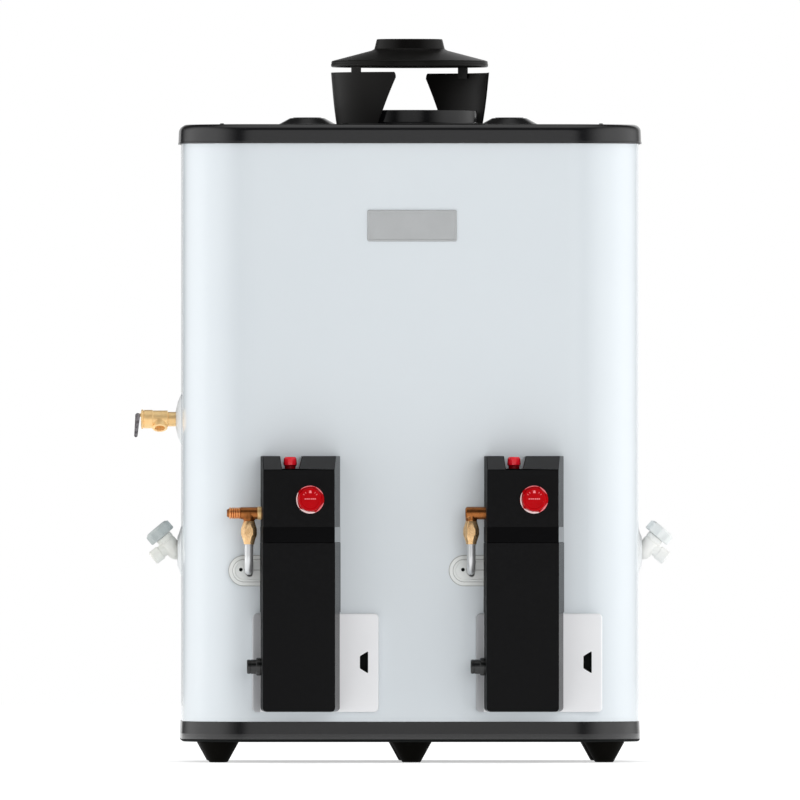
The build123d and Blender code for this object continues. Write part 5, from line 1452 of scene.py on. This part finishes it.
def makePortPlate(name):
    low, high = boxOf("port_plate_" + name)
    facts = portPlate
    low.x -= facts["longer"][name]
    centre = (low + high) / 2
    width, height = high.x - low.x, high.z - low.z
    base = -high.y
    straight = (width - height) / 2

    def ovals(section):
        # One oval loop for each point of a section given as (half height, level).
        loops = []
        for half, level in section:
            flat = rectLoop(2 * (straight + half), 2 * half, half - 0.01, 0, 18, (centre.x, centre.z))
            loops.append([upright @ Vector((point.x, point.y, level)) for point in flat])
        return loops

    half = height / 2
    section = softCorners([(half, base), (half, base + 1.5, 0.7), (half - 5.6, base + 1.5, 0.5),
                           (half - 6.4, base + 3.0, 0.8), (half - 8.6, base + 3.0, 0.8),
                           (half - 9.6, base + 2.0, 0.5), (half - 12, base + 2.0)], False, 4)
    plate = built("port_plate_oval_" + name, "plate_white", skin, ovals(section), True, True)
    bm = bmesh.new()
    x = unitCentres[name]
    column = gasColumns()[0 if name == "left" else 1]
    for place, radius, dropped in ((column, facts["tubeHole"], 0), (x, facts["tubeHole"], 0),
                                   (x - 14, facts["lineHole"], 0), (x - 24, facts["lineHole"], 0),
                                   (column - facts["shadedHoleShift"], facts["shadedHole"], 1.5)):
        hole = placeAt((place, high.y + 5, centre.z + dropped), (0, -1, 0))
        turned(bm, disc(radius, 0, 15), hole, 36)
    carve(plate, asObject("portHoles", bm))
    hole = placeAt((column + 1.5, high.y + 5, centre.z - 4.5), (0, -1, 0))
    carve(plate, built("portGap", None, turned, disc(facts["gap"], 0, 15), hole, 36))
    # Painted shade: a grey ring lying in the groove round the raised middle, and a grey ring round the foot
    # of the rim that reaches out past it; and the line where the middle is split.
    outer, inner, seal = half - facts["grooveShadeOut"], half - facts["grooveShadeIn"], half + facts["rimShadeOut"]
    grooveShadeRing = ((outer, base + 1.4), (outer, base + 1.75), (inner, base + 1.75), (inner, base + 1.4))
    rimShadeRing = ((seal, base), (seal, base + 0.8), (half - 2, base + 0.8), (half - 2, base))
    for part, ringSection in (("seam", grooveShadeRing), ("seal", rimShadeRing)):
        ring = built("port_plate_" + part + "_" + name, "groove_grey", skin, ovals(ringSection), ring=True)
        seat(smoothOff(ring), "root", "plate_white")
    # Painted shade: a black disc behind the small hole stands in for the shade inside it.
    plug = built("port_plate_plug_" + name, "pocket_black", turned, disc(facts["plug"], 0, 0.8),
                 placeAt((column - facts["shadedHoleShift"], high.y, centre.z + 1.5), (0, -1, 0)), 36)
    seat(smoothOff(plug), "root", "plate_white")
    split = facts["split"]
    line = built("port_plate_split_" + name, "groove_grey", blockMesh, (column + 7.4, -base - 2.2,
                                                                        centre.z + 0.9 - split),
                 (x - 30, -base - 1.6, centre.z + 0.9 + split))
    seat(smoothOff(line), "root", "plate_white")
    seat(smoothOff(plate, 0.25, 2), "root", "plate_white", "port_plate_" + name)


makeTee()
makeElbow()
makeGasTube()
makeFlareNuts()
for unitName in hands:
    makePortPlate(unitName)
    makeIgniter(unitName)

print("stage: relief valve and drain cocks")

relief = {"neck": 10.75, "neckEnd": 20.8, "body": 12.8, "bodyEnd": 43.6, "collar": 14.25, "collarEnd": 60.5,
          "barrel": 13.7, "outlet": 11.3, "outletBore": 7.6, "outletPlace": 32.7, "outletReach": 15.5,
          "outletTurn": 30.0, "wall": 337.5, "level": 507.0, "knurls": 44}


def makeReliefValve():
    facts = relief
    start = boxOf("relief_valve")[1].x
    along = placeAt((start, 0, facts["level"]), (-1, 0, 0))
    offset = start + facts["wall"]
    collarHigh = facts["collarEnd"] + offset
    profile = softCorners([(0, 0), (facts["neck"], 0), (facts["neck"], facts["neckEnd"] + offset - 1.2, 0.6),
                           (facts["neck"] - 0.5, facts["neckEnd"] + offset - 0.4, 0.3),
                           (facts["body"], facts["neckEnd"] + offset + 0.2, 1.2),
                           (facts["body"], facts["bodyEnd"] + offset - 1, 0.6),
                           (facts["barrel"], facts["bodyEnd"] + offset, 0.8),
                           (facts["barrel"], collarHigh - 4.6, 0.4), (facts["barrel"] - 0.9,
                                                                      collarHigh - 4.2),
                           (facts["barrel"] - 0.9, collarHigh - 3.4), (facts["collar"] - 0.4,
                                                                       collarHigh - 3.0, 0.4),
                           (facts["collar"] - 0.4, collarHigh - 1.0, 0.8), (facts["body"] - 1.6, collarHigh,
                                                                            0.6), (0, collarHigh)], False, 5)
    valve = built("relief_valve_body", "brass_pale", turned, profile, along, 72)
    turn = math.radians(facts["outletTurn"])
    down = (0, -math.sin(turn), -math.cos(turn))
    root = (-facts["wall"] - facts["outletPlace"], 0, facts["level"])
    outlet = softCorners([(0, 0), (facts["outlet"] + 0.6, 0), (facts["outlet"], facts["outletReach"] - 4,
                                                               2.5), (facts["outlet"], facts["outletReach"],
                                                                      0.8), (0, facts["outletReach"])], False,
                         5)
    carve(valve, built("reliefOutlet", "brass_pale", turned, outlet, placeAt(root, down), 64), "UNION")
    pivot = middleOf("relief_lever_pin")
    tongue = softCorners([(pivot.x - 2.5, pivot.z - 2.5, 2.4), (start - collarHigh + 2, pivot.z - 2.5),
                          (start - collarHigh + 2, pivot.z + 2.5), (pivot.x - 2.5, pivot.z + 2.5, 2.4)], True,
                         5)
    carve(valve, built("reliefTongue", "brass_pale", prism, tongue, -2.9, 2.9, upright), "UNION")
    deep = facts["outletReach"] - 10
    carve(valve, built("reliefBore", None, turned, [(0, deep), (facts["outletBore"], deep),
                                                    (facts["outletBore"], facts["outletReach"] + 4),
                                                    (0, facts["outletReach"] + 4)], placeAt(root, down), 48))
    seat(smoothOff(valve, 0.3, 2), "root", "brass", "relief_valve")
    # The knurled grip ring of the collar.
    ridge = built("knurl", None, prism, [(-0.5, -0.6), (0.15, 0.0), (-0.5, 0.6)], 0.0, 2.4)
    ring = placeAt((start - collarHigh + 3.1, 0, facts["level"]), (-1, 0, 0))
    knurls = repeated("relief_knurls", ringTree, ridge, "brass_pale", ring, count=facts["knurls"],
                      radius=facts["collar"])
    seat(knurls, "root", "brass")


lever = {"headRadius": 3.7, "headShift": 0.9, "tipHalf": 2.5, "length": 33.0, "lean": 6.8, "cheekOuter": 5.2,
         "cheekInner": 3.4, "webThick": 1.4, "clear": 9.0,
         "mouthBelow": 5.0}


def makeReliefLever():
    # A folded channel: two cheeks with a round head at the pin, and a web on the outside.
    facts = lever
    clear = facts["clear"]
    pivot = middleOf("relief_lever_pin")
    lean = math.radians(facts["lean"])
    head = Vector((pivot.x - facts["headShift"], pivot.z - facts["headShift"] * 0.6))
    down = Vector((-math.sin(lean), -math.cos(lean)))
    across = Vector((down.y, -down.x))
    if across.x > 0:
        across = -across
    tip = Vector((pivot.x, pivot.z)) + down * (facts["length"] - facts["tipHalf"])
    outline = []
    for step in range(19):
        angle = math.radians(200 - 220 * step / 18) - lean
        outline.append(head + Vector((math.cos(angle), math.sin(angle))) * facts["headRadius"])
    for step in range(13):
        angle = math.radians(-180 * step / 12) - lean
        outline.append(tip + Vector((math.cos(angle), math.sin(angle))) * facts["tipHalf"])
    bar = built("relief_lever_channel", "lever_steel", prism, outline, -facts["cheekOuter"],
                facts["cheekOuter"], upright)
    hollow = [head + across * (facts["tipHalf"] - facts["webThick"]) - down * clear,
              tip + across * (facts["tipHalf"] - facts["webThick"]) + down * clear,
              tip - across * clear + down * clear, head - across * clear - down * clear]
    carve(bar, built("leverHollow", None, prism, hollow, -facts["cheekInner"], facts["cheekInner"], upright))
    mouthLow = pivot.z - facts["mouthBelow"]
    top = [(head.x - clear, mouthLow), (head.x + clear, mouthLow), (head.x + clear, pivot.z + clear),
           (head.x - clear, pivot.z + clear)]
    carve(bar, built("leverMouth", None, prism, top, -facts["cheekInner"], facts["cheekInner"], upright))
    seat(smoothOff(bar, 0.25, 2), "relief_lever", "lever_steel", "relief_lever")


rosetteMouth = {"relief": 11.1, "drain": 20.0}


def makeRosette(node, mouth):
    low, high = boxOf(node)
    hand = -1 if high.x < 0 else 1
    rise = high.x - low.x
    wall = high.x if hand < 0 else low.x
    radius = (high.z - low.z) / 2
    place = placeAt((wall, 0, (low.z + high.z) / 2), (hand, 0, 0))
    profile = softCorners([(mouth, 0), (radius, 0), (radius, 1.1, 0.6), (radius * 0.72, rise * 0.66, 16),
                           (mouth + 1.4, rise, 0.9), (mouth, rise, 0.4)], True, 7)
    rosette = built(node + "_cone", "rosette_white", turned, profile, place, 96, True)
    seat(smoothOff(rosette), "root", "plate_white", node)


drain = {"knobRadius": 19.0, "lobeRadius": 21.0, "lobes": 8, "rise": 49.8, "base": 28.4, "knobHeight": 17.0,
         "level": 311.5, "out": 347.0, "ribs": 48, "ribDeep": 0.25, "shank": 10.0, "body": 12.5,
         "bodyLong": 28.0, "outletPlace": 12.0, "fall": 38.0, "outletReach": 33.0, "neck": 9.4,
         "outlet": 10.65, "outletLong": 15.0, "bore": 7.0, "boreDeep": 14.0}


def makeDrainBody(name, hand):
    facts = drain
    low, high = boxOf("drain_body_" + name)
    rise, fall = math.radians(facts["rise"]), math.radians(facts["fall"])
    axis = Vector((hand * math.cos(rise), 0, math.sin(rise)))
    away = Vector((hand * math.cos(fall), 0, -math.sin(fall)))
    centre = Vector((hand * facts["out"], 0, facts["level"]))
    body, long = facts["body"], facts["bodyLong"]
    bm = bmesh.new()
    inner = low.x if hand > 0 else high.x
    turned(bm, disc(facts["shank"], 0, abs(centre.x - inner)),
           placeAt((inner, 0, facts["level"]), (hand, 0, 0)), 56)
    # Painted light: the right cock takes the paler copy, the left one the plain colour.
    finish = "fitting_white" if hand < 0 else "fitting_pale"
    cock = asObject("drain_cock_body_" + name, bm, finish)
    ball = [(body * math.sin(math.radians(a)), -body * math.cos(math.radians(a))) for a in range(0, 91, 9)]
    profile = ball + softCorners([(body - 0.01, 0.5), (body, long - 9.5, 0.4), (body - 0.9, long - 9.0, 0.3),
                                  (body - 0.9, long - 7.6, 0.3), (body, long - 7.0, 0.4), (body, long, 0.8),
                                  (0, long)], False, 4)
    carve(cock, built("cockBody", finish, turned, profile, placeAt(centre, axis), 64), "UNION")
    root = centre + axis * facts["outletPlace"]
    reach, end = facts["outletReach"], facts["outletReach"] - facts["outletLong"]
    profile = softCorners([(0, 0), (facts["neck"], 0), (facts["neck"], end - 0.8, 0.6),
                           (facts["outlet"], end, 0.8), (facts["outlet"], reach - 1.8, 1.2),
                           (facts["outlet"] - 1.2, reach, 0.8), (0, reach)], False, 4)
    carve(cock, built("cockOutlet", finish, turned, profile, placeAt(root, away), 64), "UNION")
    deep = reach - facts["boreDeep"]
    carve(cock, built("cockBore", None, turned, disc(facts["bore"], deep, reach + 4), placeAt(root, away),
                      48))
    seat(smoothOff(cock, 0.3, 2), "root", "fitting_white", "drain_body_" + name)


def makeDrainKnob(name, hand):
    facts = drain
    rise = math.radians(facts["rise"])
    axis = Vector((hand * math.cos(rise), 0, math.sin(rise)))
    origin = Vector((hand * facts["out"], 0, facts["level"])) + axis * facts["base"]
    height = facts["knobHeight"]

    def lobes(radius, angle, level):
        if radius < 15:
            return radius
        swell = 0.5 + 0.5 * math.cos(angle * facts["lobes"])
        grip = min(1.0, max(0.0, (height - level) / 4))
        ripple = facts["ribDeep"] * math.cos(angle * facts["ribs"]) * grip
        lobe = (facts["lobeRadius"] - facts["knobRadius"]) * (swell ** 1.5) * grip
        return radius + lobe - 0.2 - facts["ribDeep"] + ripple

    profile = softCorners([(6.5, 0), (facts["knobRadius"] - 1.0, 0, 0.8), (facts["knobRadius"], 1.6, 0.8),
                           (facts["knobRadius"], height - 3.2, 1.2), (facts["knobRadius"] - 2.6, height - 0.4,
                                                                      1.8), (12.5, height, 1.2),
                           (11.0, height - 1.8, 1.0), (0, height - 2.2)], False, 5)
    # Painted light: the right knob takes the paler copy, the left one the plain grey.
    knob = built("drain_knob_grip_" + name, "knob_grey" if hand < 0 else "knob_pale", turned, profile,
                 placeAt(origin, axis), 288, wave=lobes)
    seat(smoothOff(knob), "drain_knob_" + name, "fitting_white", "drain_knob_" + name)


makeReliefValve()
makeReliefLever()
makeRosette("relief_rosette", rosetteMouth["relief"])
for unitName, handSign in hands.items():
    makeRosette("drain_rosette_" + unitName, rosetteMouth["drain"])
    makeDrainBody(unitName, handSign)
    makeDrainKnob(unitName, handSign)

print("stage: end")
